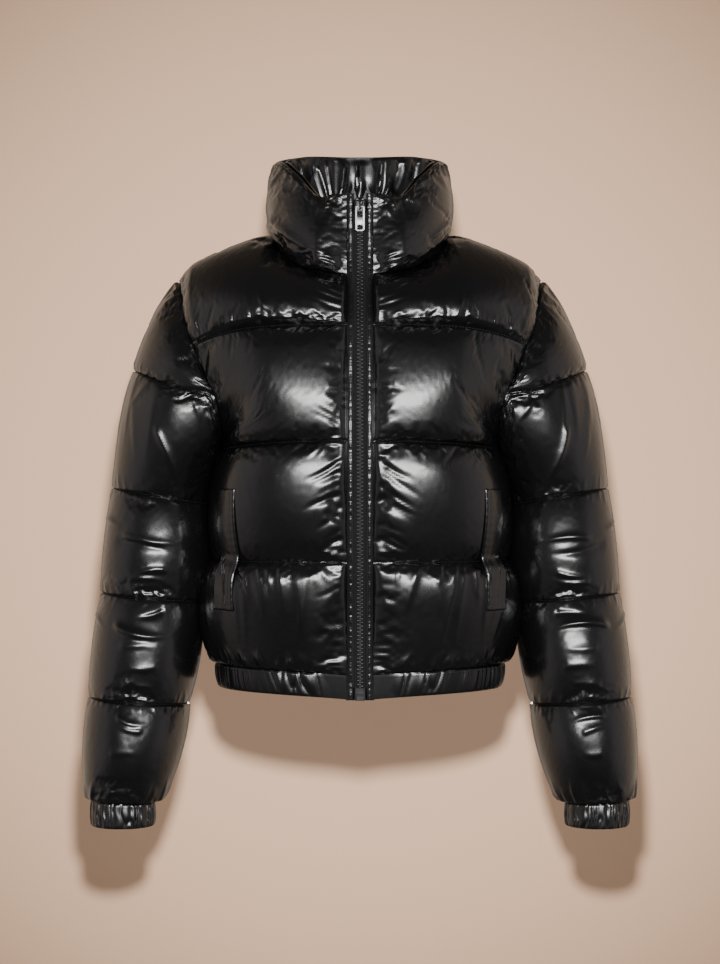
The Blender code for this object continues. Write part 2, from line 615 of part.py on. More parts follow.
def collar_half(front, back):
    """Base points, normals and swell of the collar's left half, zip to centre back."""
    front_base, front_normal, _ = front
    back_base, back_normal, _ = back
    high = slice(NECK_COLUMN, NECK_COLUMN + 1)
    edge = np.concatenate([
        front_base[-1, :NECK_COLUMN],
        (front_base[-1, high] + back_base[-1, high]) / 2,
        back_base[-1, :NECK_COLUMN][::-1],
    ])
    normal = np.concatenate([front_normal[-1, : NECK_COLUMN + 1], back_normal[-1, :NECK_COLUMN][::-1]])
    to_axis = points(0, 0, NECK_AXIS_RISE) - edge * (1, 1, 0)
    away = off_edge(edge, normal, to_axis)
    away[0, 0] = away[-1, 0] = 0.0
    away = unit(away)
    share = np.linspace(0, 1, 2 * NECK_COLUMN + 1)
    start = math.asin((FRONT_EDGE + SEAM_GAP / 2) / COLLAR_TOP_HALF)
    angle = mix(start, math.pi / 2, np.clip(share * 2, 0, 1)) + np.clip(share * 2 - 1, 0, 1) * math.pi / 2
    depth = np.where(share <= 0.5, *COLLAR_TOP_DEPTH)
    top = points(COLLAR_TOP_HALF * np.sin(angle), -depth * np.cos(angle), interpolate(COLLAR_TOP, share, 1))
    top[-1, 0] = 0.0
    seat, seat_normal = seat_ring(edge, normal, away, unit(top - edge), STITCH_WALL)
    base = np.array([mix(seat, top, step) for step in COLLAR_STEPS])
    own = surface_normals(base)
    own[0] = seat_normal
    own[:, 0, 0] = own[:, -1, 0] = 0.0
    own = unit(own)
    in_front, at_side, behind = COLLAR_SWELL
    sizes = np.where(share < 0.5, mix(in_front, at_side, share * 2), mix(at_side, behind, share * 2 - 1))
    from_zip = smooth(base[..., 0], FRONT_EDGE + COLLAR_ROLL[0], FRONT_EDGE + COLLAR_ROLL[1])
    from_zip[:, share > 0.5] = 1.0
    height = np.array(COLLAR_STEPS)[:, None]
    power = mix(COLLAR_FOOT_POWER, PUFF_POWER, smooth(height, 0.0, 0.5))
    return base, own, sizes * np.sin(np.pi * height) ** power * from_zip


def add_pair(name, mesh, material, collection):
    """The wearer's left piece and its right-hand twin."""
    left = place(mesh, name + "_left", material, collection)
    mirrored_copy(left, name + "_right", collection)


def add_mirrored(name, mesh, material, collection):
    """A piece across the centre: its left half, and a Mirror modifier for the right."""
    mirror = place(mesh, name, material, collection).modifiers.new("other half", "MIRROR")
    mirror.merge_threshold = 0.00001


def open_centre_rim(mesh):
    """Take off the rim that a half has on the centre plane, where its mirror image joins it."""
    work = bmesh.new()
    work.from_mesh(mesh)
    rim = [f for f in work.faces if all(abs(v.co.x) < 1e-7 for v in f.verts)]
    bmesh.ops.delete(work, geom=rim, context="FACES_ONLY")
    work.to_mesh(mesh)
    work.free()
    return mesh


def build_cloth(collection, shell, trim):
    """The padded panels, sleeves and collar, the collar's facing and the hem band."""
    front = panel(BODY_LEVEL_STEPS, FRONT_STEPS, NECK_COLUMN, -1)
    back = panel(BODY_LEVEL_STEPS, BACK_STEPS, NECK_COLUMN, 1)
    add_pair("front", wall_mesh("front_left", *front[:2], STITCH_WALL, front[2]), shell, collection)
    back_mesh = wall_mesh("back", *back[:2], STITCH_WALL, back[2], flip=True)
    add_mirrored("back", open_centre_rim(back_mesh), shell, collection)

    base, normal, swell = sleeve_grid(*body_ring(front, back))
    sleeve = wall_mesh("sleeve_left", base, normal, STITCH_WALL, swell, flip=True, ring=True)
    add_pair("sleeve", sleeve, shell, collection)

    base, normal, swell = hem_half(front, back)
    hem = wall_mesh("hem_band", base, normal, STITCH_WALL, swell)
    add_mirrored("hem_band", open_centre_rim(hem), trim, collection)

    base, normal, swell = collar_half(front, back)
    outer = wall_mesh("collar_outer", base, normal, STITCH_WALL, swell)
    add_mirrored("collar_outer", open_centre_rim(outer), shell, collection)
    inner_base = base - normal * (STITCH_WALL + SEAM_GAP)
    inner = wall_mesh("collar_facing", inner_base, normal, FACING_WALL, np.zeros(swell.shape))
    add_mirrored("collar_facing", open_centre_rim(inner), shell, collection)


def build_cuffs(collection, trim):
    """The elastic cuffs: ribbed rings that hang from the sleeves' ends."""
    count = 2 * CUFF_RIBS
    angle = 2 * np.pi * np.arange(count) / count
    ribs = np.where(np.arange(count) % 2 == 0, 0.0, RIB_HEIGHT)
    inner_top, outer_top = SLEEVE_RINGS[-1][3:5]
    top = mix(inner_top, outer_top, (1 - np.cos(angle)) / 2) - SEAM_GAP
    x = CUFF_CENTRE[0] - CUFF_HALF[0] * np.cos(angle)
    y = CUFF_CENTRE[1] - CUFF_HALF[1] * np.sin(angle)
    rows = [points(x, y, mix(top, CUFF_BOTTOM, share)) for share, _ in BAND_ROWS]
    normal = np.array([points(-np.cos(angle), -np.sin(angle), 0.0)] * len(rows))
    swell = np.array(band_swell(BAND_ROWS, count, ribs, CUFF_BULGE))
    mesh = wall_mesh("cuff_left", np.array(rows), normal, CUFF_WALL, swell, flip=True, ring=True)
    add_pair("cuff", mesh, trim, collection)


def build_welts(collection, shell):
    """Pocket welts: strips that stand on the fronts over the first quilting line, open toward the side."""
    levels = np.linspace(*WELT_LEVELS, WELT_ROWS)
    shares = np.linspace(*WELT_COLUMNS, 4)
    level, share = np.meshgrid(levels, shares, indexing="ij")
    base = body_points(level, share, FRONT_STEPS[NECK_COLUMN], -1)
    normal = surface_normals(base)
    over = body_swell(level, share, -1)
    for offset in WELT_BRIDGE:
        over = np.maximum(over, body_swell(level + offset, share, -1))
    ground = base + normal * (over + WELT_LIFT)[..., None]
    mesh = wall_mesh("pocket_welt_left", ground, normal, 0.0, np.full(level.shape, WELT_WALL))
    add_pair("pocket_welt", mesh, shell, collection)


def build_zip(collection, shell, trim):
    """The stitched strips that border the zip, and the tapes behind them."""
    top = COLLAR_TOP[0][1]
    strip_lift = STRIP_PROUD - STRIP_WALL
    strip_width = (STRIP_INNER, FRONT_EDGE - SEAM_GAP / 2)
    strip = ribbon("zip_strip", strip_width, (STRIP_FOOT, top), strip_lift, STRIP_WALL)
    add_pair("zip_strip", strip, shell, collection)
    tape_foot = STRIP_FOOT + BOX_SIZE[2] + TAPE_CLEAR
    tape_lift = strip_lift - SEAM_GAP - TAPE_WALL
    tape = ribbon("zip_tape", (TAPE_INNER, TAPE_OUTER), (tape_foot, top - TAPE_SHORT), tape_lift, TAPE_WALL)
    add_pair("zip_tape", tape, trim, collection)


def slider_face():
    """Y of the slider's front face."""
    return -(front_curve(np.array([SLIDER_HEIGHT]))[0] + SLIDER_PROUD)


def build_slider(collection, metal):
    """The slider: front plate, post, back plate behind the tapes, and the square bail on its face."""
    width, thick, height = SLIDER_SIZE
    face = slider_face()
    z = SLIDER_HEIGHT
    back_y = face + SLIDER_DEPTH
    plate_y = face + thick / 2
    bail_y = face - BAIL_RISE / 2 + BAIL_SINK
    leg = (BAIL_WIDTH, BAIL_RISE + 2 * BAIL_SINK, BAIL_LEG)
    bar = (BAIL_WIDTH, BAIL_BAR, 2 * BAIL_REACH + BAIL_LEG)
    join_boxes(
        "zip_slider", metal, collection,
        ((0, plate_y, z), (width, thick, height), SLIDER_RADIUS),
        ((0, (plate_y + back_y) / 2, z + POST_RISE), (POST_WIDTH, back_y - plate_y, POST_HEIGHT), POST_RADIUS),
        ((0, back_y, z), (width, BACK_PLATE, height), BACK_RADIUS),
        ((0, bail_y, z + BAIL_REACH), leg, BAIL_RADIUS),
        ((0, bail_y, z - BAIL_REACH), leg, BAIL_RADIUS),
        ((0, face - BAIL_RISE + BAIL_BAR / 2, z), bar, BAIL_RADIUS),
    )


def build_pull(collection, metal):
    """The pull tab: a flat plate with a slot for the bail and a small window, its origin on its hinge."""
    top = PULL_TOP
    bottom = top - PULL_LENGTH
    half = PULL_WIDTH / 2
    right = [
        (half - PULL_CORNER, top),
        (half, top - PULL_CORNER),
        (half, bottom + PULL_FOOT),
        (half - PULL_FOOT, bottom),
    ]
    shapes = [
        right + [(-x, y) for x, y in right[::-1]],
        rectangle(PULL_SLOT[0], top - PULL_SLOT[1], top - PULL_SLOT[2]),
        rectangle(PULL_WINDOW[0], bottom + PULL_WINDOW[1], bottom + PULL_WINDOW[2]),
    ]
    outline = bpy.data.curves.new("zip_pull", "CURVE")
    outline.dimensions = "2D"
    outline.fill_mode = "BOTH"
    outline.extrude = PULL_THICK / 2 * MM
    for corners in shapes:
        spline = outline.splines.new("POLY")
        spline.points.add(len(corners) - 1)
        spline.use_cyclic_u = True
        for point, (x, y) in zip(spline.points, corners):
            point.co = (x * MM, y * MM, 0, 1)
    flat = bpy.data.objects.new("pull outline", outline)
    collection.objects.link(flat)
    bpy.context.view_layer.update()
    mesh = bpy.data.meshes.new_from_object(flat.evaluated_get(bpy.context.evaluated_depsgraph_get()))
    bpy.data.objects.remove(flat)
    work = bmesh.new()
    work.from_mesh(mesh)
    bmesh.ops.remove_doubles(work, verts=work.verts, dist=1e-6)
    work.to_mesh(mesh)
    work.free()
    mesh.transform(Matrix.Rotation(math.pi / 2, 4, "X"))
    mesh.materials.clear()
    pull = place(mesh, "zip_pull", metal, collection)
    pull.location = [c * MM for c in (0.0, slider_face() - HINGE_STAND, SLIDER_HEIGHT - HINGE_DROP)]


def rectangle(width, high, low):
    """Corners of a rectangle about the centre line."""
    half = width / 2
    return [(-half, high), (half, high), (half, low), (-half, low)]


def build_box(collection, metal):
    """The retainer box at the zip's foot."""
    middle = STRIP_FOOT + BOX_SIZE[2] / 2 - SEAM_GAP
    y = BOX_SET_BACK - front_curve(np.array([middle]))[0]
    join_boxes("zip_box", metal, collection, ((0, y, middle), BOX_SIZE, BOX_RADIUS))


def main():
    """Clear the file and build the jacket."""
    for old in list(bpy.data.objects):
        bpy.data.objects.remove(old, do_unlink=True)
    jacket = bpy.data.collections.new("puffer_jacket")
    bpy.context.scene.collection.children.link(jacket)
    shell = make_material("gloss_shell", (0.012, 0.012, 0.013), 0.22)
    trim = make_material("elastic_trim", (0.015, 0.015, 0.016), 0.4)
    dark = make_material("dark_metal", (0.035, 0.035, 0.037), 0.3, 0.8)
    pale = make_material("pale_metal", (0.62, 0.62, 0.63), 0.3, 1.0)
    build_cloth(jacket, shell, trim)
    build_cuffs(jacket, trim)
    build_welts(jacket, shell)
    build_zip(jacket, shell, trim)
    build_slider(jacket, dark)
    build_pull(jacket, pale)
    build_box(jacket, dark)


main()
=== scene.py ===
"""Dress the cropped puffer jacket: quilted shell, gathered trim, working zip, stitching and studio.

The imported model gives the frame, and every piece here is laid on the same cut as its solids. Sizes of the cut are in
millimetres and are turned to metres where a mesh is made. +Z is up, the front faces -Y, the wearer's left is +X.
"""

import logging
import math
from collections.abc import Callable
from dataclasses import dataclass, field
from enum import Enum
from typing import ClassVar

import bmesh
import bpy
import numpy as np
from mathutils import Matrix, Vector


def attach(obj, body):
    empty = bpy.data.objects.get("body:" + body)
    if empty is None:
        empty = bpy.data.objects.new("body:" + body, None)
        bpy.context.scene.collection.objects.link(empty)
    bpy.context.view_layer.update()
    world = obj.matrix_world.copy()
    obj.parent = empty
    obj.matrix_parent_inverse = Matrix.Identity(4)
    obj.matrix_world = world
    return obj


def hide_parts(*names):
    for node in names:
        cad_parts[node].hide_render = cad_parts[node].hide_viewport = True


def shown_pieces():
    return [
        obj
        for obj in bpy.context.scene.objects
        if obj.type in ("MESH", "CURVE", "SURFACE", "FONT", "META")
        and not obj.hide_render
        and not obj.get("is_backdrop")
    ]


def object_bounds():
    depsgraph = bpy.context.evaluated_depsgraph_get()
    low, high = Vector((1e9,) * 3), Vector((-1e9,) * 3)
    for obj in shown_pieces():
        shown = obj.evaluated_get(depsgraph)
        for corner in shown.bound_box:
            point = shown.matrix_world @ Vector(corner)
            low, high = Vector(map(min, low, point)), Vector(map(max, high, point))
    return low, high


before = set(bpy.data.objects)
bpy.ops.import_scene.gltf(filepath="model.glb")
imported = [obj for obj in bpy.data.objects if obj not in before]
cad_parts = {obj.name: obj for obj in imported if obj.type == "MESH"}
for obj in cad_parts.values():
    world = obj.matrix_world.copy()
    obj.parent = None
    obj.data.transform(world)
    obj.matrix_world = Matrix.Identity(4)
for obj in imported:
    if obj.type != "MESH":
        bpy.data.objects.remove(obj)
CAD_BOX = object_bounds()

LOG = logging.getLogger("puffer_jacket")
MM = 0.001
SEAM_GAP = 0.3
FOLD_ROOM = 1.5
STITCH_WALL = 4.0
PUFF_POWER = 0.45
FRONT_EDGE = 14.0
SETTLING_FRAMES = 18

Array = np.ndarray
Table = tuple[tuple[float, ...], ...]
Pair = tuple[float, float]
Triple = tuple[float, float, float]


class Facing(Enum):
    """Which half of the body a panel covers."""

    FRONT = -1
    BACK = 1


class Side(Enum):
    """The wearer's side that a piece is made for."""

    LEFT = 1
    RIGHT = -1

    @property
    def label(self) -> str:
        """The side's name as pieces and solids carry it."""
        return self.name.lower()

    @property
    def flip(self) -> Array:
        """What a left-hand piece's points are multiplied by to suit this side."""
        return np.array((self.value, 1.0, 1.0))


# ---- Arithmetic on grids ----
def hermite(t: Array) -> tuple[Array, Array, Array, Array]:
    """Weights of a smooth curve's start, the slope there, its end and the slope there."""
    return 2 * t**3 - 3 * t**2 + 1, t**3 - 2 * t**2 + t, -2 * t**3 + 3 * t**2, t**3 - t**2


def interpolate(table: Table, key: Array, column: int) -> Array:
    """Read a smooth value from a table of sizes.

    Args:
        table: Rows whose first column is the key, in rising order.
        key: Where to read.
        column: Which column to read.

    Returns:
        The values at the keys.
    """
    keys = np.array([row[0] for row in table], float)
    values = np.array([row[column] for row in table], float)
    slopes = np.gradient(values, keys)
    key = np.clip(key, keys[0], keys[-1])
    i = np.clip(np.searchsorted(keys, key, side="right") - 1, 0, len(keys) - 2)
    width = keys[i + 1] - keys[i]
    a, b, c, d = hermite((key - keys[i]) / width)
    return a * values[i] + b * width * slopes[i] + c * values[i + 1] + d * width * slopes[i + 1]


def mix(a: Array, b: Array, t: Array) -> Array:
    """Blend from a to b by t."""
    return a + (b - a) * t


def smooth(value: Array, low: float, high: float) -> Array:
    """Rise softly from 0 at low to 1 at high."""
    t = np.clip((value - low) / (high - low), 0.0, 1.0)
    return t * t * (3 - 2 * t)


def unit(vectors: Array) -> Array:
    """Scale vectors to length one."""
    return vectors / np.maximum(np.linalg.norm(vectors, axis=-1, keepdims=True), 1e-9)


def points(x: Array, y: Array, z: Array) -> Array:
    """Stack coordinates into points."""
    return np.stack(np.broadcast_arrays(x, y, z), axis=-1).astype(float)


def puff(share: Array) -> Array:
    """Height of a swollen channel, 0 at its quilting lines and 1 between them."""
    return np.sin(np.pi * np.clip(share, 0, 1)) ** PUFF_POWER


def closed(line: Array) -> Array:
    """Run a ring's values on to its first one again."""
    return np.concatenate([line, line[:1]])


def read_along(where: Array, place: Array, values: Array) -> Array:
    """Read points or directions that are known at rising places at other places."""
    return np.stack([np.interp(where, place, values[:, k]) for k in range(3)], axis=1)


def surface_normals(grid: Array, ring: bool = False) -> Array:
    """Find unit normals of a grid of points.

    Args:
        grid: Points in rows and columns.
        ring: Whether the last column runs on into the first.

    Returns:
        The normals, column direction crossed with row direction.
    """
    if ring:
        wide = np.concatenate([grid[:, -1:], grid, grid[:, :1]], axis=1)
        along = (wide[:, 2:] - wide[:, :-2]) / 2
    else:
        along = np.gradient(grid, axis=1)
    up = np.gradient(grid, axis=0)
    return unit(np.cross(along, up))


def refine(grid: Array, ring: bool = False) -> Array:
    """Double a grid's rows and columns on smooth curves through its points.

    Args:
        grid: Points in rows and columns.
        ring: Whether the columns run round and meet.

    Returns:
        The finer grid, which holds every old point.
    """
    for axis in (0, 1):
        values = np.moveaxis(grid, axis, 0)
        wrap = ring and axis == 1
        if wrap:
            padded = np.concatenate([values[-1:], values, values[:2]])
        else:
            padded = np.concatenate([2 * values[:1] - values[1:2], values, 2 * values[-1:] - values[-2:-1]])
        between = (9 * (padded[1:-2] + padded[2:-1]) - (padded[:-3] + padded[3:])) / 16
        count = len(between)
        result = np.empty((count + len(values), *values.shape[1:]))
        result[0 : 2 * count : 2] = values[:count]
        result[1 : 2 * count : 2] = between
        if not wrap:
            result[-1] = values[-1]
        grid = np.moveaxis(result, 0, axis)
    return grid


def lengths_along(grid: Array, axis: int) -> Array:
    """Measure how far each point of a grid lies along its row or column, in millimetres."""
    total = np.cumsum(np.linalg.norm(np.diff(grid, axis=axis), axis=-1), axis=axis)
    return np.concatenate([np.zeros_like(np.take(total, [0], axis=axis)), total], axis=axis)


# ---- The cut of the jacket ----
@dataclass(frozen=True)
class BodyCut:
    """Fronts and back, between hem seam (level 0), quilting lines (1 to 3) and neckline and shoulder (4)."""

    high_shoulder: Pair = (92.0, 10.0)
    shoulder_tip: Pair = (199.0, -38.0)
    shoulder_bow: float = 3.5
    neck_front: Pair = (100.0, -41.0)
    neck_back: Pair = (74.0, -8.0)
    neck_share_front: float = 0.47
    neck_share_back: float = 0.49
    armpit: float = 2.14
    roundness: float = 0.82
    yoke_reach: Triple = (0.5, 0.25, 0.72)
    levels: Table = (
        (0, -466.5, 102, -458, 92, 0.6),
        (0.5, -405, 108, -402, 95, 1.5),
        (1, -344.5, 118, -344, 99, 3),
        (1.5, -281, 126, -284, 104, 3),
        (2, -217, 131.5, -224, 109, 3),
        (2.5, -157, 129, -164, 112, 4),
        (3, -94.5, 120, -103, 110, 4.5),
    )
    side_seam: Table = (
        (0, 157, -457),
        (0.5, 160, -401),
        (1, 160, -344),
        (1.5, 156.5, -284),
        (2, 150.5, -225),
        (2.14, 151, -217),
    )
    armhole: Table = (
        (2.14, 151, 0, 0, -217),
        (2.32, 149, 46, 42, -208),
        (2.50, 150, 72, 66, -188),
        (2.68, 156, 82, 76, -166),
        (2.85, 167, 80, 77, -142),
        (3, 178, 71, 70, -114),
        (3.25, 187, 58, 58, -90),
        (3.5, 191.5, 40, 41, -68),
        (3.75, 195.5, 20, 21, -49),
        (4, 199, 0, 0, -38),
    )
    swells: Table = ((16, 17, 19, 1.9), (18, 18, 10, 1.5), (20, 19, 5, 0.72), (20, 20, 19, 0.53))
    swell_sides: Pair = (0.45, 0.9)
    hidden_share: float = 0.8
    seam_roll: Pair = (0.11, 0.5)
    zip_roll: Pair = (0.5, 0.3)
    underarm_relief: Pair = (2.2, 2.65)
    yoke_relief: Triple = (3.55, 0.36, 0.56)

    def neck_share(self, facing: Facing) -> float:
        """Share of the top edge, from the centre, that is neckline."""
        return self.neck_share_front if facing is Facing.FRONT else self.neck_share_back

    def start(self, facing: Facing) -> float:
        """Distance of a panel's first column from the centre line."""
        return FRONT_EDGE + SEAM_GAP / 2 if facing is Facing.FRONT else 0.0

    def armhole_edge(self, level: Array, facing: Facing) -> Array:
        """Points of the armhole seam."""
        depth = interpolate(self.armhole, level, 2 if facing is Facing.FRONT else 3)
        depth = np.maximum(depth, SEAM_GAP / 2)
        return points(interpolate(self.armhole, level, 1), facing.value * depth, interpolate(self.armhole, level, 4))

    def edge(self, level: Array, facing: Facing) -> Array:
        """Side seam below the armpit, armhole above it."""
        x = interpolate(self.side_seam, level, 1)
        side = points(x, facing.value * SEAM_GAP / 2, interpolate(self.side_seam, level, 2))
        return np.where((level < self.armpit)[..., None], side, self.armhole_edge(level, facing))

    def row(self, level: Array, share: Array, facing: Facing) -> Array:
        """Points up to line 3, where a row is an arc from the centre to the side seam or armhole.

        Args:
            level: Height on the body in quilting lines.
            share: 0 at the centre, 1 at the side seam or armhole.
            facing: Front or back.

        Returns:
            The points, in millimetres.
        """
        first = 1 if facing is Facing.FRONT else 3
        height, depth, turn = (interpolate(self.levels, level, k) for k in (first, first + 1, 5))
        edge, power = self.edge(level, facing), self.roundness
        end_angle = np.arccos((np.abs(edge[..., 1]) / depth) ** (1 / power))
        start_angle = np.arcsin((self.start(facing) / edge[..., 0]) ** (1 / power) * np.sin(end_angle))
        angle = mix(start_angle, end_angle, share)
        x = edge[..., 0] * (np.sin(angle) / np.sin(end_angle)) ** power
        y = facing.value * depth * np.abs(np.cos(angle)) ** power
        z = mix(height, edge[..., 2], (x / edge[..., 0]) ** turn)
        return points(x, y, z)

    def top_edge(self, share: Array, facing: Facing) -> Array:
        """Neckline from the centre to the high shoulder, then the shoulder seam to its tip.

        Args:
            share: 0 at the centre, 1 at the side seam or armhole.
            facing: Front or back.

        Returns:
            The points, in millimetres.
        """
        depth, height = self.neck_front if facing is Facing.FRONT else self.neck_back
        neck_share = self.neck_share(facing)
        start_angle = math.asin(self.start(facing) / self.high_shoulder[0])
        angle = mix(start_angle, math.pi / 2, np.clip(share / neck_share, 0, 1))
        neck = points(
            self.high_shoulder[0] * np.sin(angle),
            facing.value * np.maximum(depth * np.cos(angle), SEAM_GAP / 2),
            mix(height, self.high_shoulder[1], (1 - np.cos(angle)) ** 1.1),
        )
        along = np.clip((share - neck_share) / (1 - neck_share), 0, 1)
        shoulder = points(
            mix(self.high_shoulder[0], self.shoulder_tip[0], along),
            facing.value * SEAM_GAP / 2,
            mix(self.high_shoulder[1], self.shoulder_tip[1], along) + 4 * self.shoulder_bow * along * (1 - along),
        )
        return np.where((share > neck_share)[..., None], shoulder, neck)

    def yoke(self, level: Array, share: Array, facing: Facing) -> Array:
        """Points between line 3 and the top edge, over the shoulder's curve.

        Args:
            level: Height on the body in quilting lines.
            share: 0 at the centre, 1 at the side seam or armhole.
            facing: Front or back.

        Returns:
            The points, in millimetres.
        """
        line, top = self.row(np.full_like(level, 3.0), share, facing), self.top_edge(share, facing)
        reach = line + (top - line) * np.array(self.yoke_reach)
        t = np.clip(level - 3, 0, 1)[..., None]
        return (1 - t) ** 2 * line + 2 * t * (1 - t) * reach + t**2 * top

    def surface(self, level: Array, share: Array, facing: Facing) -> Array:
        """Find points on the outside of the quilting lines.

        Args:
            level: Height on the body in quilting lines.
            share: 0 at the centre, 1 at the side seam or armhole.
            facing: Front or back.

        Returns:
            The points, in millimetres.
        """
        lower = self.row(np.minimum(level, 3.0), share, facing)
        mend = self.armhole_edge(np.clip(level, 3, 4), facing) - self.yoke(level, np.ones_like(share), facing)
        upper = self.yoke(level, share, facing) + mend * share[..., None] ** 4
        return np.where(level[..., None] > 3, upper, lower)

    def swell(self, level: Array, share: Array, facing: Facing) -> Array:
        """Height of the padding above those points.

        Args:
            level: Height on the body in quilting lines.
            share: 0 at the centre, 1 at the side seam or armhole.
            facing: Front or back.

        Returns:
            The heights, in millimetres.
        """
        channel = np.clip(np.floor(level).astype(int), 0, 3)
        sizes = np.array(self.swells)
        aside = smooth(share, *self.swell_sides)
        size = mix(sizes[channel, 0 if facing is Facing.FRONT else 1], sizes[channel, 2], aside)
        height = size * puff(np.clip(level - channel, 0, 1) ** mix(sizes[channel, 3], 1.0, aside))
        low, near, far = self.yoke_relief
        under_collar = smooth(level, low, 4.0) * (1 - smooth(share, near, far))
        under_sleeve = np.where(channel == 2, smooth(share, 0.5, 0.85) * (1 - smooth(level, *self.underarm_relief)), 0)
        height = height * (1 - self.hidden_share * under_collar) * (1 - under_sleeve)
        seam = np.clip((1 - share) / self.seam_roll[0], 0, 1) ** self.seam_roll[1]
        edge = np.clip(share / self.zip_roll[0], 0, 1) ** self.zip_roll[1] if facing is Facing.FRONT else 1.0
        return height * seam * edge


def across_edge(edge: Array, normal: Array, inward: Array) -> Array:
    """Direction in the surface, square to an open edge, on the side that inward points to."""
    away = unit(np.cross(np.gradient(edge, axis=0), normal))
    return away * np.sign(np.sum(away * inward, axis=-1, keepdims=True))


def seat(edge: Array, normal: Array, away: Array, heading: Array) -> tuple[Array, Array]:
    """Find where a piece that is sewn to an edge starts.

    Args:
        edge: Points of the edge that carries it.
        normal: Directions off the carrying piece there.
        away: Directions off its edge.
        heading: Directions that the sewn piece leaves in.

    Returns:
        The sewn piece's first points and its normals there.
    """
    rise = np.sum(heading * normal, axis=-1, keepdims=True)
    run = np.sum(heading * away, axis=-1, keepdims=True)
    angle = np.arctan2(rise, run)
    own = normal * np.cos(angle) - away * np.sin(angle)
    gap = SEAM_GAP * (1 + FOLD_ROOM * np.maximum(np.sin(angle / 2), 0))
    step = gap * (away * np.cos(angle / 2) + normal * np.sin(angle / 2))
    return np.where(angle > 0, edge + step, edge - STITCH_WALL * normal + step + STITCH_WALL * own), own


def channel_levels(first: int, last: int, steps: int) -> Array:
    """Levels of a panel's rows, closer together beside each quilting line."""
    u = np.linspace(0, 1, steps + 1)
    step = mix(u, 0.5 - 0.5 * np.cos(np.pi * u), 0.4)
    return np.concatenate([*(k + step[:-1] for k in range(first, last)), [float(last)]])


@dataclass
class Grid:
    """A quilted piece before it is sewn: points on its quilting lines, and how far its padding rises."""

    level: Array
    share: Array
    base: Array
    normal: Array
    swell: Array
    ring: bool = False

    def mirrored(self) -> "Grid":
        """The same piece for the other side of the body."""
        turn = Side.RIGHT.flip
        return Grid(self.level, self.share, self.base * turn, self.normal * turn, self.swell, self.ring)

    def seams(self) -> Array:
        """Which points lie on a quilting line or a sewn edge."""
        pinned = np.abs(self.level - np.round(self.level)) < 1e-6
        if not self.ring:
            pinned[:, 0] = pinned[:, -1] = True
        return pinned

    def find(self, where: Array, level: float, share: float) -> Array:
        """The point, of some that lie on the grid, nearest to a level and share."""
        row = int(np.argmin(np.abs(self.level[:, 0] - level)))
        return where[row, int(np.argmin(np.abs(self.share[row] - share)))]

    def refined(self) -> "Grid":
        """The same piece on twice as many rows and columns."""
        level, share = refine(self.level), refine(self.share)
        if self.ring:
            step = share[:, -1:] - share[:, -2:-1]
            level, share = np.hstack([level, level[:, -1:]]), np.hstack([share, share[:, -1:] + step])
        base, normal, swell = (refine(values, self.ring) for values in (self.base, self.normal, self.swell))
        return Grid(level, share, base, unit(normal), swell, self.ring)


def body_grid(cut: BodyCut, facing: Facing, steps: int, columns: int) -> Grid:
    """Lay a grid over the wearer's left front, or the left half of the back.

    Args:
        cut: Sizes of the body.
        facing: Front or back.
        steps: Rows in each channel.
        columns: Columns from centre to side.

    Returns:
        The grid.
    """
    neck_share = cut.neck_share(facing)
    neck_columns = round(columns * neck_share)
    shares = np.concatenate(
        [np.linspace(0, neck_share, neck_columns), np.linspace(neck_share, 1, columns - neck_columns + 1)[1:]]
    )
    level, share = np.meshgrid(channel_levels(0, 4, steps), shares, indexing="ij")
    base = cut.surface(level, share, facing)
    normal = surface_normals(base) * -facing.value
    flat_seam = np.zeros_like(level, bool)
    flat_seam[:, -1] = level[:, -1] <= cut.armpit
    flat_seam[-1] = share[-1] >= neck_share
    normal[..., 1] = np.where(flat_seam, 0.0, normal[..., 1])
    normal[:, 0, 0] = 0.0
    return Grid(level, share, base, unit(normal), cut.swell(level, share, facing))


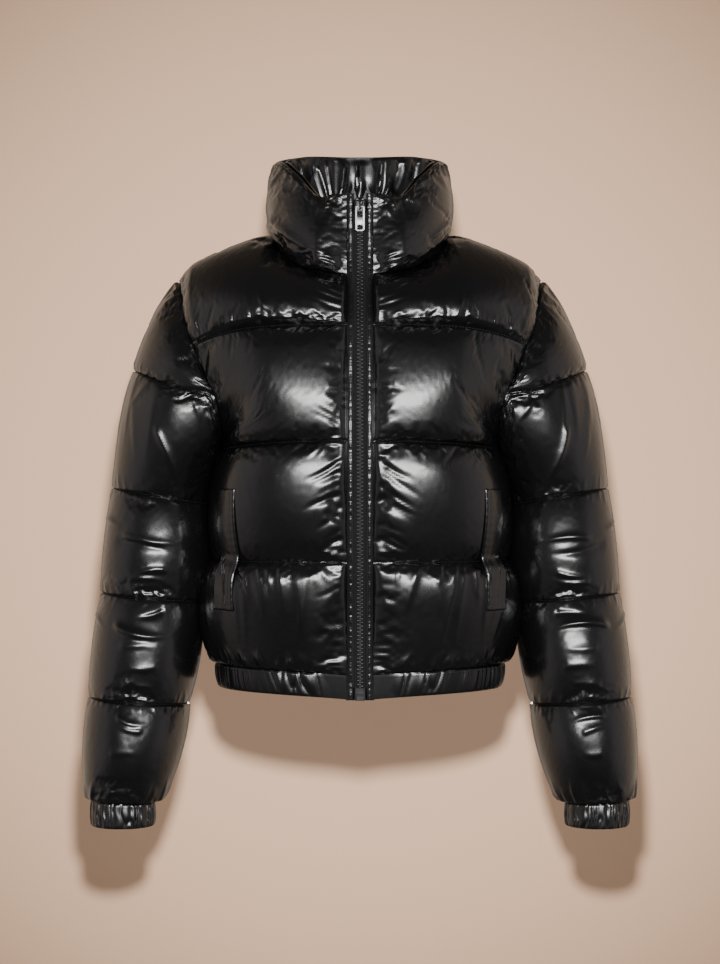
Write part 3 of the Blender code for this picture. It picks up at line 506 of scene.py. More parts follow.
@dataclass(frozen=True)
class SleeveCut:
    """The left sleeve, round the arm from the underarm (0) to the outer side (0.5) and back."""

    rings: Table = (
        (2, 165, 270, -284, -267, 0, 57),
        (3, 173.5, 282, -390, -381, -4, 57),
        (4, 190, 294, -501, -494.5, -10, 55),
        (5, 219, 298.5, -608, -605, -14, 43),
    )
    line_inner: Triple = (159.0, 83.0, -167.0)
    line_outer: Pair = (246.0, -139.0)
    line_split: float = 0.41
    underarm_step: float = 7.0
    swells: Table = ((0.5, 9, 9), (1, 9, 4), (8, 11, 4.5), (6, 11, 4.5), (9, 11, 6.5))

    def tube(self, level: Array, turn: Array) -> Array:
        """Points of the sleeve from its second quilting line down."""
        angle = 2 * np.pi * turn
        inner, outer, inner_z, outer_z, middle, half = (interpolate(self.rings, level, k) for k in range(1, 7))
        across = (1 - np.cos(angle)) / 2
        return points(mix(inner, outer, across), middle - half * np.sin(angle), mix(inner_z, outer_z, across))

    def first_line(self, edge: Array, down: Array, turn: Array) -> Array:
        """The first quilting line, an arc over the outer side that meets the armhole in front and behind.

        Args:
            edge: The armhole's points.
            down: Directions from them to the next line.
            turn: Places round the arm.

        Returns:
            The points, in millimetres.
        """
        height = 1 - np.abs(1 - 2 * turn)
        facing = np.where(turn <= 0.5, -1.0, 1.0)
        sweep = np.clip((height - self.line_split) / (1 - self.line_split), 0, 1) * np.pi / 2
        x, depth, z = self.line_inner
        outer = points(
            mix(x, self.line_outer[0], np.sin(sweep)),
            facing * np.where(facing < 0, depth, depth - 5) * np.cos(sweep) ** 0.9,
            mix(z, self.line_outer[1], np.sin(sweep) ** 1.5),
        )
        blend = smooth(height, self.line_split - 0.13, self.line_split + 0.1)[:, None]
        return mix(edge + self.underarm_step * down, outer, blend)

    def armhole(self, body: BodyCut, turn: Array) -> list[Array]:
        """Sample the armhole's edge.

        Args:
            body: Sizes of the body.
            turn: Places round the armhole, 0 at the armpit and 0.5 at the shoulder tip.

        Returns:
            Edge points, the body's normals there and the directions off its edge.
        """
        halves = []
        for facing in Facing:
            grid = body_grid(body, facing, 60, 40)
            above = grid.level[:, 0] >= body.armpit - 1e-6
            edge, normal = grid.base[above, -1], grid.normal[above, -1]
            away = across_edge(edge, normal, edge - grid.base[above, -2])
            length = lengths_along(edge, 0)
            place = 0.5 * length / length[-1]
            where = np.minimum(turn, 1 - turn)
            halves.append([read_along(where, place, values) for values in (edge, normal, away)])
        front = (turn <= 0.5)[:, None]
        joined = [np.where(front, f, b) for f, b in zip(*halves)]
        near_seam = (np.minimum(np.minimum(turn, 1 - turn), np.abs(turn - 0.5)) < 0.004)[:, None]
        edge, normal, away = (np.where(near_seam, values * (1, 0, 1), values) for values in joined)
        return [edge, unit(normal), unit(away)]

    def grid(self, body: BodyCut, steps: int, columns: int) -> Grid:
        """Lay a grid over the sleeve.

        Args:
            body: Sizes of the body that it is sewn to.
            steps: Rows in each channel.
            columns: Columns round the arm.

        Returns:
            The grid, whose last column runs on into its first.
        """
        turn = np.arange(columns) / columns
        height = 1 - np.abs(1 - 2 * turn)
        edge, normal, away = self.armhole(body, turn)
        line_b = self.tube(np.full_like(turn, 2.0), turn)
        line_a = self.first_line(edge, unit(line_b - edge), turn)
        line_c = self.tube(np.full_like(turn, 3.0), turn)
        start, start_normal = seat(edge, normal, away, unit(line_a - edge))
        level = channel_levels(0, 5, steps)
        slope_a, slope_b = (line_b - start) / 2, (line_c - line_a) / 2
        rows = []
        for value in level:
            if value <= 1:
                rows.append(mix(start, line_a, value))
            elif value < 2:
                a, b, c, d = hermite(value - 1)
                rows.append(a * line_a + b * slope_a + c * line_b + d * slope_b)
            else:
                rows.append(self.tube(np.full_like(turn, value), turn))
        base = np.array(rows)
        own = -surface_normals(base, ring=True)
        own[0] = start_normal
        own[-1] = unit(own[-1] * (1, 1, 0))
        level, turn = np.meshgrid(level, turn, indexing="ij")
        channel = np.clip(np.floor(level - 1e-9).astype(int), 0, 4)
        inner, middle, outer = np.moveaxis(np.array(self.swells)[channel], -1, 0)
        profile = np.clip(level - channel, 0, 1)
        rounder = np.exp(-(((height - 0.5) / 0.24) ** 2)) * np.where(channel > 0, 1.0, 0.0)
        swell = np.where(
            height < 0.5,
            mix(inner, middle, smooth(height, 0.08, 0.5)),
            mix(middle, outer, smooth(height, 0.5, 1.0)),
        ) * mix(puff(profile), 1.15 * np.sin(np.pi * profile**0.9) ** 0.85, rounder)
        under = smooth(height, self.line_split - 0.08, self.line_split + 0.12)
        return Grid(level, turn, base, own, np.where(level < 1, swell * under, swell), ring=True)


@dataclass(frozen=True)
class CollarCut:
    """The stand collar's left half, from the zip (0) to the centre back (1)."""

    top: Table = (
        (0, 46), (0.07, 45), (0.1, 43), (0.25, 70), (0.375, 86.5), (0.5, 91.5), (0.75, 104), (1, 106),
    )
    top_half: float = 92.0
    top_depth: Pair = (97.0, 76.0)
    swells: Triple = (20.0, 10.5, 17.0)

    def grid(self, body: BodyCut, steps: int, columns: int) -> Grid:
        """Lay a grid over the left half of the collar.

        Args:
            body: Sizes of the body whose neckline carries it.
            steps: Rows from neckline to top edge.
            columns: Columns from zip to centre back.

        Returns:
            The grid, with levels 0 at the neckline and 1 at the top edge.
        """
        half = columns // 2
        share = np.concatenate([np.linspace(0, 0.5, half + 1), np.linspace(0.5, 1, half + 1)[1:]])
        edges, normals = [], []
        for facing in Facing:
            along = np.linspace(0, body.neck_share(facing), half + 1)
            level = 3.9 + 0.1 * channel_levels(0, 1, 10)
            grid_level, grid_share = np.meshgrid(level, along, indexing="ij")
            base = body.surface(grid_level, grid_share, facing)
            normal = surface_normals(base)[-1] * -facing.value
            normal[-1, 1] = normal[0, 0] = 0.0
            edges.append(base[-1])
            normals.append(unit(normal))
        edge = np.concatenate([edges[0][:-1], (edges[0][-1:] + edges[1][-1:]) / 2, edges[1][:-1][::-1]])
        normal = np.concatenate([normals[0], normals[1][:-1][::-1]])
        away = across_edge(edge, normal, points(0, 0, 60.0) - edge * (1, 1, 0))
        start = math.asin((FRONT_EDGE + SEAM_GAP / 2) / self.top_half)
        angle = mix(start, math.pi / 2, np.clip(share * 2, 0, 1)) + np.clip(share * 2 - 1, 0, 1) * math.pi / 2
        depth = np.where(share <= 0.5, *self.top_depth)
        top = points(self.top_half * np.sin(angle), -depth * np.cos(angle), interpolate(self.top, share, 1))
        top[-1, 0] = away[0, 0] = away[-1, 0] = 0.0
        first, first_normal = seat(edge, normal, unit(away), unit(top - edge))
        level, share = np.meshgrid(channel_levels(0, 1, steps), share, indexing="ij")
        base = mix(first, top, level[..., None])
        own = surface_normals(base)
        own[0] = first_normal
        own[:, 0, 0] = own[:, -1, 0] = 0.0
        front, side, behind = self.swells
        size = np.where(share < 0.5, mix(front, side, share * 2), mix(side, behind, share * 2 - 1))
        from_zip = np.where(share > 0.5, 1.0, smooth(base[..., 0], FRONT_EDGE - 2, FRONT_EDGE + 28))
        power = mix(0.8, 1.2, smooth(level, 0.3, 1.0))
        sag = mix(0.5, 0.8, smooth(share, 0.2, 0.45))
        swell = size * np.sin(np.pi * level**sag) ** power * from_zip
        return Grid(level, share, base, unit(own), swell)


def both_halves(left: Grid) -> Grid:
    """Join a left half, whose centre is its first or last column, to its mirror image.

    Args:
        left: The left half.

    Returns:
        The whole piece's grid.
    """
    right = left.mirrored()
    centre_first = abs(left.base[0, 0, 0]) < abs(left.base[0, -1, 0])
    joined = []
    for name in ("level", "share", "base", "normal", "swell"):
        own, other = getattr(left, name), getattr(right, name) * (-1 if name == "share" else 1)
        joined.append(np.concatenate([other[:, :0:-1], own] if centre_first else [own, other[:, -2::-1]], axis=1))
    return Grid(*joined, ring=left.ring)


# ---- Finishes ----
Colour = Triple
Socket = bpy.types.NodeSocket
WAVE_PER_MM = 0.314


class NodeSheet:
    """A node tree, with short ways to add and join nodes."""

    def __init__(self, tree: bpy.types.NodeTree) -> None:
        """Take up a tree, with its shader if it has one."""
        self.tree = tree
        self.shader = tree.nodes.get("Principled BSDF")

    def add(self, kind: str, inputs: dict | None = None, **settings) -> bpy.types.Node:
        """Add a node.

        Args:
            kind: The node's type name, without what all of them start with.
            inputs: Values or sockets for its inputs, by name or number.
            **settings: The node's own properties.

        Returns:
            The node.
        """
        node = self.tree.nodes.new("ShaderNode" + kind)
        for key, value in settings.items():
            setattr(node, key, value)
        for key, value in (inputs or {}).items():
            self.put(node.inputs[key], value)
        return node

    def put(self, socket: Socket, value: object) -> None:
        """Join a socket to another, or set its value."""
        if isinstance(value, Socket):
            self.tree.links.new(value, socket)
        else:
            socket.default_value = value

    def math(self, operation: str, *values: object) -> Socket:
        """Add a Math node on up to three values and give its result."""
        return self.add("Math", dict(enumerate(values)), operation=operation).outputs[0]

    def length(self, leg: Socket, other: float) -> Socket:
        """Give the long side of a right-angled triangle."""
        return self.math("SQRT", self.math("MULTIPLY_ADD", leg, leg, other * other))

    def distance(self, place: Socket, centre: Triple) -> Socket:
        """Give how far each place is from a centre."""
        return self.add("VectorMath", {0: place, 1: centre}, operation="DISTANCE").outputs["Value"]

    def scaled(self, colour: Socket, factor: Socket) -> Socket:
        """Multiply a colour by a factor."""
        return self.add("VectorMath", {0: colour, "Scale": factor}, operation="SCALE").outputs[0]

    def noise(self, where: Socket, scale: float, detail: float = 2.0) -> Socket:
        """Add a noise pattern and give its factor."""
        return self.add("TexNoise", {"Vector": where, "Scale": scale, "Detail": detail}).outputs["Fac"]

    def wave(self, where: Socket, scale: float, axis: str = "DIAGONAL", **inputs: float) -> Socket:
        """Add bands across an axis and give their factor."""
        return self.add("TexWave", {"Vector": where, "Scale": scale, **inputs}, bands_direction=axis).outputs["Fac"]

    def place(self, scale: Triple = (1.0, 1.0, 1.0)) -> Socket:
        """Give object coordinates stretched by a scale."""
        source = self.add("TexCoord").outputs["Object"]
        return self.add("Mapping", {"Vector": source, "Scale": scale}).outputs["Vector"]

    def flat(self) -> Socket:
        """Give the piece's own flat map, in millimetres."""
        return self.add("UVMap", uv_map="cloth").outputs["UV"]

    def range(
        self, value: Socket, low: float, high: float, start: float = 0.0, end: float = 1.0, easing: str = "LINEAR"
    ) -> Socket:
        """Go from low to high while a value goes from start to end."""
        sockets = {"Value": value, "From Min": start, "From Max": end, "To Min": low, "To Max": high}
        return self.add("MapRange", sockets, interpolation_type=easing).outputs["Result"]

    def ramp(self, value: Socket, *stops: tuple[float, Colour], easing: str = "LINEAR") -> Socket:
        """Blend between colours.

        Args:
            value: What picks the colour.
            *stops: Places on the ramp and their colours, in order.
            easing: How one colour goes over into the next.

        Returns:
            The colour.
        """
        node = self.add("ValToRGB", {0: value})
        elements = node.color_ramp.elements
        node.color_ramp.interpolation = easing
        for element, (position, colour) in zip(elements, (stops[0], stops[-1])):
            element.position, element.color = position, (*colour, 1.0)
        for position, colour in stops[1:-1]:
            elements.new(position).color = (*colour, 1.0)
        return node.outputs["Color"]

    def colours(self, value: Socket, low: Colour, high: Colour) -> Socket:
        """Blend between two colours by a factor."""
        return self.ramp(value, (0.3, low), (0.7, high))

    def bump(self, *layers: tuple[Socket, float]) -> None:
        """Stack relief on the shader, each layer a height of 0 to 1 and its depth in metres."""
        below = {}
        for height, depth in layers:
            node = self.add("Bump", {"Height": height, "Distance": depth, "Strength": 1.0, **below})
            below = {"Normal": node.outputs["Normal"]}
        self.surface(**below)

    def surface(self, **values: object) -> None:
        """Set the shader's sockets, named with underscores for spaces."""
        for key, value in values.items():
            self.put(self.shader.inputs[key.replace("_", " ")], value)


class Material:
    """Something that can be painted on a node sheet."""

    def paint(self, sheet: NodeSheet) -> None:
        """Lay the nodes out on a new material's sheet.

        Args:
            sheet: The material's empty sheet.
        """
        raise NotImplementedError

    def make(self, name: str) -> bpy.types.Material:
        """Build the material.

        Args:
            name: What the material is called.

        Returns:
            The material.
        """
        material = bpy.data.materials.new(name)
        material.use_nodes = True
        self.paint(NodeSheet(material.node_tree))
        return material


@dataclass(frozen=True)
class CoatedNylon(Material):
    """Black nylon with a glossy clear coat, over a fine weave that lets the gloss break up a little."""

    low: Colour = (0.0030, 0.0030, 0.0034)
    high: Colour = (0.0050, 0.0048, 0.0052)
    gloss: float = 0.27
    coat: float = 0.5
    coat_roughness: float = 0.15
    thread_pitch: float = 0.42

    def paint(self, sheet: NodeSheet) -> None:
        """Lay out the weave, a fine crinkle, and gloss that varies from place to place."""
        flat, space, pitch = sheet.flat(), sheet.place(), WAVE_PER_MM / self.thread_pitch
        weave = sheet.math("MAXIMUM", *(sheet.wave(flat, pitch, axis, Distortion=0.4, Detail=1.0) for axis in "XY"))
        crinkle = sheet.noise(sheet.place((1.0, 1.0, 0.45)), 95.0, 4.0)
        sheet.surface(
            Base_Color=sheet.colours(sheet.noise(space, 9.0, 3.0), self.low, self.high),
            Roughness=sheet.range(sheet.noise(space, 38.0, 3.0), self.gloss - 0.04, self.gloss + 0.06),
            Coat_Weight=self.coat,
            Coat_Roughness=self.coat_roughness,
            IOR=1.5,
        )
        sheet.bump((weave, 0.00001), (crinkle, 0.00016))


@dataclass(frozen=True)
class PlainLining(Material):
    """Smooth dull black taffeta inside the jacket, in a fine even weave."""

    low: Colour = (0.010, 0.010, 0.011)
    high: Colour = (0.017, 0.016, 0.017)
    roughness: float = 0.46
    thread_pitch: float = 0.5

    def paint(self, sheet: NodeSheet) -> None:
        """Lay out the weave over cloth that is a little uneven."""
        space, weave = sheet.place(), sheet.wave(sheet.flat(), WAVE_PER_MM / self.thread_pitch)
        sheet.surface(
            Base_Color=sheet.colours(sheet.noise(space, 14.0, 3.0), self.low, self.high),
            Roughness=sheet.range(weave, self.roughness - 0.04, self.roughness + 0.08),
        )
        sheet.bump((weave, 0.00003), (sheet.noise(space, 60.0, 3.0), 0.0005))


@dataclass(frozen=True)
class WovenTape(Material):
    """Zip tape: a matt black twill of fine slanted ribs."""

    colour: Colour = (0.0045, 0.0045, 0.005)
    pitch: float = 1.1

    def paint(self, sheet: NodeSheet) -> None:
        """Lay out the ribs, with a fine fuzz over them."""
        ribs = sheet.wave(sheet.flat(), WAVE_PER_MM / self.pitch)
        # The ribs' grooves are painted darker than their crests: painted shade.
        sheet.surface(
            Base_Color=sheet.colours(ribs, self.colour, tuple(2.2 * value for value in self.colour)),
            Roughness=sheet.range(ribs, 0.7, 0.85),
            Specular_IOR_Level=0.22,
        )
        sheet.bump((ribs, 0.00015), (sheet.noise(sheet.place(), 900.0, 2.0), 0.00008))


@dataclass(frozen=True)
class SewingThread(Material):
    """Black polyester thread, twisted, a little shinier than the cloth it lies on."""

    low: Colour = (0.004, 0.004, 0.004)
    high: Colour = (0.010, 0.010, 0.010)

    def paint(self, sheet: NodeSheet) -> None:
        """Lay out the twist."""
        twist = sheet.wave(sheet.place(), 900.0)
        # The twist's grooves are painted darker than its crests: painted shade.
        sheet.surface(
            Base_Color=sheet.colours(twist, self.low, self.high),
            Roughness=sheet.range(twist, 0.5, 0.65),
            Specular_IOR_Level=0.35,
        )
        sheet.bump((twist, 0.00008))


@dataclass(frozen=True)
class HardFinish(Material):
    """Cast metal or moulded resin: colour, gloss and faint handling marks."""

    colour: Colour
    roughness: float
    metallic: float = 0.0
    grain: float = 0.00002

    def paint(self, sheet: NodeSheet) -> None:
        """Lay out the wear and the marks."""
        marks = sheet.noise(sheet.place((1.0, 1.0, 0.2)), 700.0, 4.0)
        worn = sheet.noise(sheet.place(), 160.0, 3.0)
        sheet.surface(
            Base_Color=sheet.colours(worn, self.colour, tuple(1.25 * value for value in self.colour)),
            Roughness=sheet.range(marks, self.roughness - 0.06, self.roughness + 0.08),
            Metallic=self.metallic,
        )
        sheet.bump((marks, self.grain))


@dataclass(frozen=True)
class PaintedFloor(Material):
    """Plain pale painted floor with a faint mottle."""

    low: Colour = (0.50, 0.45, 0.40)
    high: Colour = (0.54, 0.49, 0.44)

    def paint(self, sheet: NodeSheet) -> None:
        """Lay out the mottle."""
        mottle = sheet.noise(sheet.place(), 3.0, 4.0)
        sheet.surface(Base_Color=sheet.colours(mottle, self.low, self.high), Roughness=sheet.range(mottle, 0.6, 0.75))


@dataclass(frozen=True)
class BeigeWall(Material):
    """A patch of beige wall: painted light of its own, darker toward its rim as painted shade, and the rest from the
    lamp whose shadow falls on it.
    """

    painted_falloff_tones: tuple[tuple[float, Colour], ...]
    away: float
    lamp_height: float
    lamp_away: float
    # Strength of the wall's painted glow.
    own: float = 0.21
    lit: float = 0.4
    fade: Pair = (0.60, 0.86)

    def paint(self, sheet: NodeSheet) -> None:
        """Lay out the wall's own painted glow, its chalky lit part whose colour is painted brighter away from the
        lamp, and its fading rim; nothing shows from behind.
        """
        sheet.tree.nodes.clear()
        place = sheet.add("TexCoord").outputs["Object"]
        radius = sheet.distance(place, (0.0, 0.0, 0.0))
        # Glow and colour darken from the middle toward the rim: painted shade of the light's falloff.
        falloff_tone = sheet.ramp(sheet.math("DIVIDE", self.away, sheet.length(radius, self.away)), *self.painted_falloff_tones, easing="EASE")
        glow = sheet.add("Emission", {"Color": falloff_tone, "Strength": self.own})
        # The colour grows brighter away from the lamp to cancel its falloff: painted light.
        from_lamp = sheet.distance(place, (0.0, 0.0, self.lamp_height))
        spread = sheet.math("DIVIDE", sheet.length(from_lamp, self.lamp_away), self.lamp_away)
        evened = sheet.math("MULTIPLY", sheet.math("POWER", spread, 4.0), self.lit)
        chalk = sheet.add("BsdfDiffuse", {"Color": sheet.scaled(falloff_tone, evened)})
        both = sheet.add("AddShader", {0: glow.outputs[0], 1: chalk.outputs[0]})
        behind = sheet.add("NewGeometry").outputs["Backfacing"]
        gone = sheet.math("MAXIMUM", sheet.range(radius, 0.0, 1.0, *self.fade, "SMOOTHSTEP"), behind)
        clear = sheet.add("BsdfTransparent")
        blend = sheet.add("MixShader", {0: gone, 1: both.outputs[0], 2: clear.outputs[0]})
        sheet.add("OutputMaterial", {"Surface": blend.outputs[0]})


class Finish(Enum):
    """The finishes of the jacket, each with the record's slot that it belongs to."""

    SHELL = ("gloss shell", "gloss_shell", CoatedNylon())
    TRIM = ("elastic trim", "elastic_trim", CoatedNylon(gloss=0.3, coat=0.35))
    LINING = ("lining", "gloss_shell", PlainLining())
    TAPE = ("zip tape", "zip_tape", WovenTape())
    THREAD = ("thread", "gloss_shell", SewingThread())
    TEETH = ("resin teeth", "dark_metal", HardFinish((0.006, 0.006, 0.007), 0.34))
    BOX = ("resin box", "dark_metal", HardFinish((0.005, 0.005, 0.006), 0.62))
    SLIDER = ("dark slider", "dark_metal", HardFinish((0.022, 0.022, 0.023), 0.28, metallic=0.7))
    PULL = ("pale metal", "pale_metal", HardFinish((0.20, 0.20, 0.20), 0.38, metallic=1.0))

    @property
    def slot(self) -> str:
        """The record's slot."""
        return self.value[1]

    def material(self) -> bpy.types.Material:
        """The finish's material, made the first time it is asked for."""
        name = self.value[0]
        return bpy.data.materials.get(name) or self.value[2].make(name)


# ---- Studio ----
def select_only(piece: bpy.types.Object | None = None) -> None:
    """Select one piece and make it the active one, or select nothing."""
    bpy.ops.object.select_all(action="DESELECT")
    if piece is not None:
        bpy.context.view_layer.objects.active = piece
        piece.select_set(True)


def add_object(name: str, data: bpy.types.ID) -> bpy.types.Object:
    """Put a new object that holds some data in the scene."""
    thing = bpy.data.objects.new(name, data)
    bpy.context.scene.collection.objects.link(thing)
    return thing


def add_mesh(name: str, vertices: Array, faces: list, *finishes: Finish, sharp: float = 70.0) -> bpy.types.Object:
    """Put a smooth-shaded mesh in the scene.

    Args:
        name: What it is called.
        vertices: Its points in millimetres.
        faces: Its faces, as vertex numbers.
        *finishes: What it is made of.
        sharp: The angle in degrees from which its edges stay sharp.

    Returns:
        The object.
    """
    mesh = bpy.data.meshes.new(name)
    mesh.from_pydata((vertices.reshape(-1, 3) * MM).tolist(), [], faces)
    for finish in finishes:
        mesh.materials.append(finish.material())
    mesh.shade_smooth()
    mesh.set_sharp_from_angle(angle=math.radians(sharp))
    return add_object(name, mesh)


@dataclass(frozen=True)
class Light:
    """A soft oval light: where it hangs and what it faces, its width and height in metres, watts and colour."""

    name: str
    place: Triple
    aim: Triple
    size: Pair
    power: float
    tint: Colour = (1.0, 1.0, 1.0)

    def hang(self, receivers: bpy.types.Collection) -> None:
        """Put the light in the scene for some receivers only.

        Args:
            receivers: What it shines on, or leaves out.
        """
        lamp = bpy.data.lights.new(self.name, "AREA")
        lamp.shape = "ELLIPSE"
        lamp.size, lamp.size_y = self.size
        lamp.energy, lamp.color = self.power, self.tint
        light = add_object(self.name, lamp)
        light.location = self.place
        light.rotation_euler = (Vector(self.aim) - Vector(self.place)).to_track_quat("-Z", "Y").to_euler()
        light.visible_camera = False
        light.light_linking.receiver_collection = receivers


@dataclass(frozen=True)
class Studio:
    """Camera, lights, sky, wall and floor, in metres."""

    camera_back: float = 2.6
    camera_height: float = -0.26
    frame_height: float = 1.0604
    sensor: float = 36.0
    wall_behind: float = 0.175
    wall_radius: float = 0.9
    lamp_front: float = 1.72
    lamp_height: float = 0.18
    lamp_size: float = 0.16
    lamp_power: float = 69.0
    floor_drop: float = 0.8
    floor_radius: float = 1.1
    floor_thickness: float = 0.04
    # Beige, darker from the middle of the view toward its edges: painted shade of the light's falloff, for the sky and
    # the wall.
    wall_painted_falloff_tones: tuple[tuple[float, Colour], ...] = ((0.955, (0.42, 0.265, 0.158)), (1.0, (1.26, 0.82, 0.55)))
    mirrored_painted_falloff_tones: tuple[tuple[float, Colour], ...] = (
        (0.03, (0.008, 0.008, 0.009)),
        (0.13, (0.14, 0.13, 0.14)),
        (0.34, (0.52, 0.48, 0.48)),
        (0.75, (0.72, 0.56, 0.43)),
        (0.93, (0.72, 0.56, 0.43)),
        (0.985, (0.17, 0.155, 0.15)),
    )

    def set_camera(self) -> None:
        """Put the camera straight in front, level with the chest."""
        lens = bpy.data.cameras.new("studio camera")
        lens.sensor_width = self.sensor
        lens.lens = self.sensor * self.camera_back / self.frame_height
        camera = add_object("studio camera", lens)
        camera.location = (0.0, -self.camera_back, self.camera_height)
        camera.rotation_euler = (math.radians(90), 0.0, 0.0)
        bpy.context.scene.camera = camera

    def add_lights(self) -> None:
        """A broad low light beside the camera with a dimmer one round it, and a small one straight behind.

        The small lamp is for the wall alone, and the others leave the wall out.
        """
        wall = self.hang_wall()
        others, only = (bpy.data.collections.new(name) for name in ("all but the wall", "the wall alone"))
        for receivers in (others, only):
            receivers.objects.link(wall)
        others.collection_objects[0].light_linking.link_state = "EXCLUDE"
        chest, level, size = (0.0, 0.0, -0.2), self.lamp_height, (self.lamp_size, self.lamp_size)
        for light in (
            Light("key", (0.1, -2.75, -0.09), chest, (2.3, 0.5), 84.0, (1.0, 0.99, 0.98)),
            Light("halo", (0.1, -2.78, -0.15), chest, (3.0, 0.72), 28.0, (1.0, 0.98, 0.97)),
            Light("back", (0.0, 2.9, -0.2), chest, (0.5, 0.5), 6.0, (1.0, 0.97, 0.94)),
        ):
            light.hang(others)
        Light("shadow lamp", (0.0, -self.lamp_front, level), (0.0, 0.0, level), size, self.lamp_power).hang(only)

    def hang_wall(self) -> bpy.types.Object:
        """Hang a patch of wall close behind the jacket, faded out at its rim and not seen from behind.

        Returns:
            The wall.
        """
        select_only()
        bpy.ops.mesh.primitive_circle_add(
            vertices=96, radius=self.wall_radius, fill_type="NGON", location=(0, self.wall_behind, self.camera_height)
        )
        wall = bpy.context.object
        wall.name = "studio_wall"
        bpy.ops.object.mode_set(mode="EDIT")
        bpy.ops.mesh.select_all(action="SELECT")
        bpy.ops.mesh.inset(thickness=self.wall_radius / 3)
        bpy.ops.object.mode_set(mode="OBJECT")
        wall.rotation_euler = (math.radians(90), 0.0, 0.0)
        bpy.ops.object.transform_apply(location=False, rotation=True, scale=True)
        away, height = self.camera_back + self.wall_behind, self.lamp_height - self.camera_height
        paint = BeigeWall(self.wall_painted_falloff_tones, away, height, self.lamp_front + self.wall_behind)
        wall.data.materials.append(paint.make("beige wall"))
        for kind in ("diffuse", "glossy", "transmission", "volume_scatter", "shadow"):
            setattr(wall, "visible_" + kind, False)
        wall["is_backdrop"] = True
        return wall

    def paint_world(self) -> None:
        """A beige wall for the camera, darker toward the edges as painted shade; a dark front and pale sides and back
        for what the jacket reflects.
        """
        world = bpy.data.worlds.new("studio")
        world.use_nodes = True
        bpy.context.scene.world = world
        sheet = NodeSheet(world.node_tree)
        sheet.tree.nodes.clear()
        direction = sheet.add("SeparateXYZ", {0: sheet.add("TexCoord").outputs["Generated"]})
        y, z = direction.outputs["Y"], direction.outputs["Z"]
        # What the camera sees: the beige backdrop with its painted shade toward the edges.
        seen = sheet.ramp(sheet.math("ABSOLUTE", y), *self.wall_painted_falloff_tones, easing="EASE")
        mirrored = sheet.ramp(sheet.math("MULTIPLY_ADD", y, 0.5, 0.5), *self.mirrored_painted_falloff_tones, easing="EASE")
        up, down = sheet.math("MULTIPLY_ADD", z, 1.1, -0.18), sheet.math("MULTIPLY", z, -1.0)
        level = sheet.range(sheet.math("MAXIMUM", up, down), 1.0, 0.14, 0.15, 0.7, "SMOOTHSTEP")
        choose = sheet.add("Mix", data_type="RGBA")
        sheet.put(choose.inputs[0], sheet.add("LightPath").outputs["Is Camera Ray"])
        sheet.put(choose.inputs["A"], sheet.scaled(mirrored, level))
        sheet.put(choose.inputs["B"], seen)
        sky = sheet.add("Background", {"Color": choose.outputs["Result"]})
        sheet.add("OutputWorld", {0: sky.outputs[0]})

    def lay_floor(self) -> None:
        """A round pale floor under the jacket, out of the camera's view."""
        select_only()
        top = CAD_BOX[0][2] - self.floor_drop
        bpy.ops.mesh.primitive_cylinder_add(
            vertices=96, radius=self.floor_radius, depth=self.floor_thickness, end_fill_type="NGON",
            location=(0, 0, top - self.floor_thickness / 2),
        )
        floor = bpy.context.object
        floor.name = "studio_floor"
        bpy.ops.object.transform_apply(location=True, rotation=True, scale=True)
        rim = floor.modifiers.new("rounded rim", "BEVEL")
        rim.width, rim.segments = 0.01, 3
        floor.data.materials.append(PaintedFloor().make("painted floor"))
        floor.visible_glossy = False
        floor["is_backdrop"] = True

    def build(self) -> None:
        """Set up the whole studio."""
        self.set_camera()
        self.add_lights()
        self.paint_world()
        self.lay_floor()


# ---- Cloth ----
def quads(rows: int, columns: int, ring: bool, first: int = 0) -> Array:
    """Number the four-cornered faces of a grid whose vertices start at a number."""
    i, j = np.meshgrid(np.arange(rows - 1), np.arange(columns if ring else columns - 1), indexing="ij")
    after = (j + 1) % columns
    corners = [i * columns + j, i * columns + after, (i + 1) * columns + after, (i + 1) * columns + j]
    return np.stack([c.ravel() for c in corners], axis=1) + first


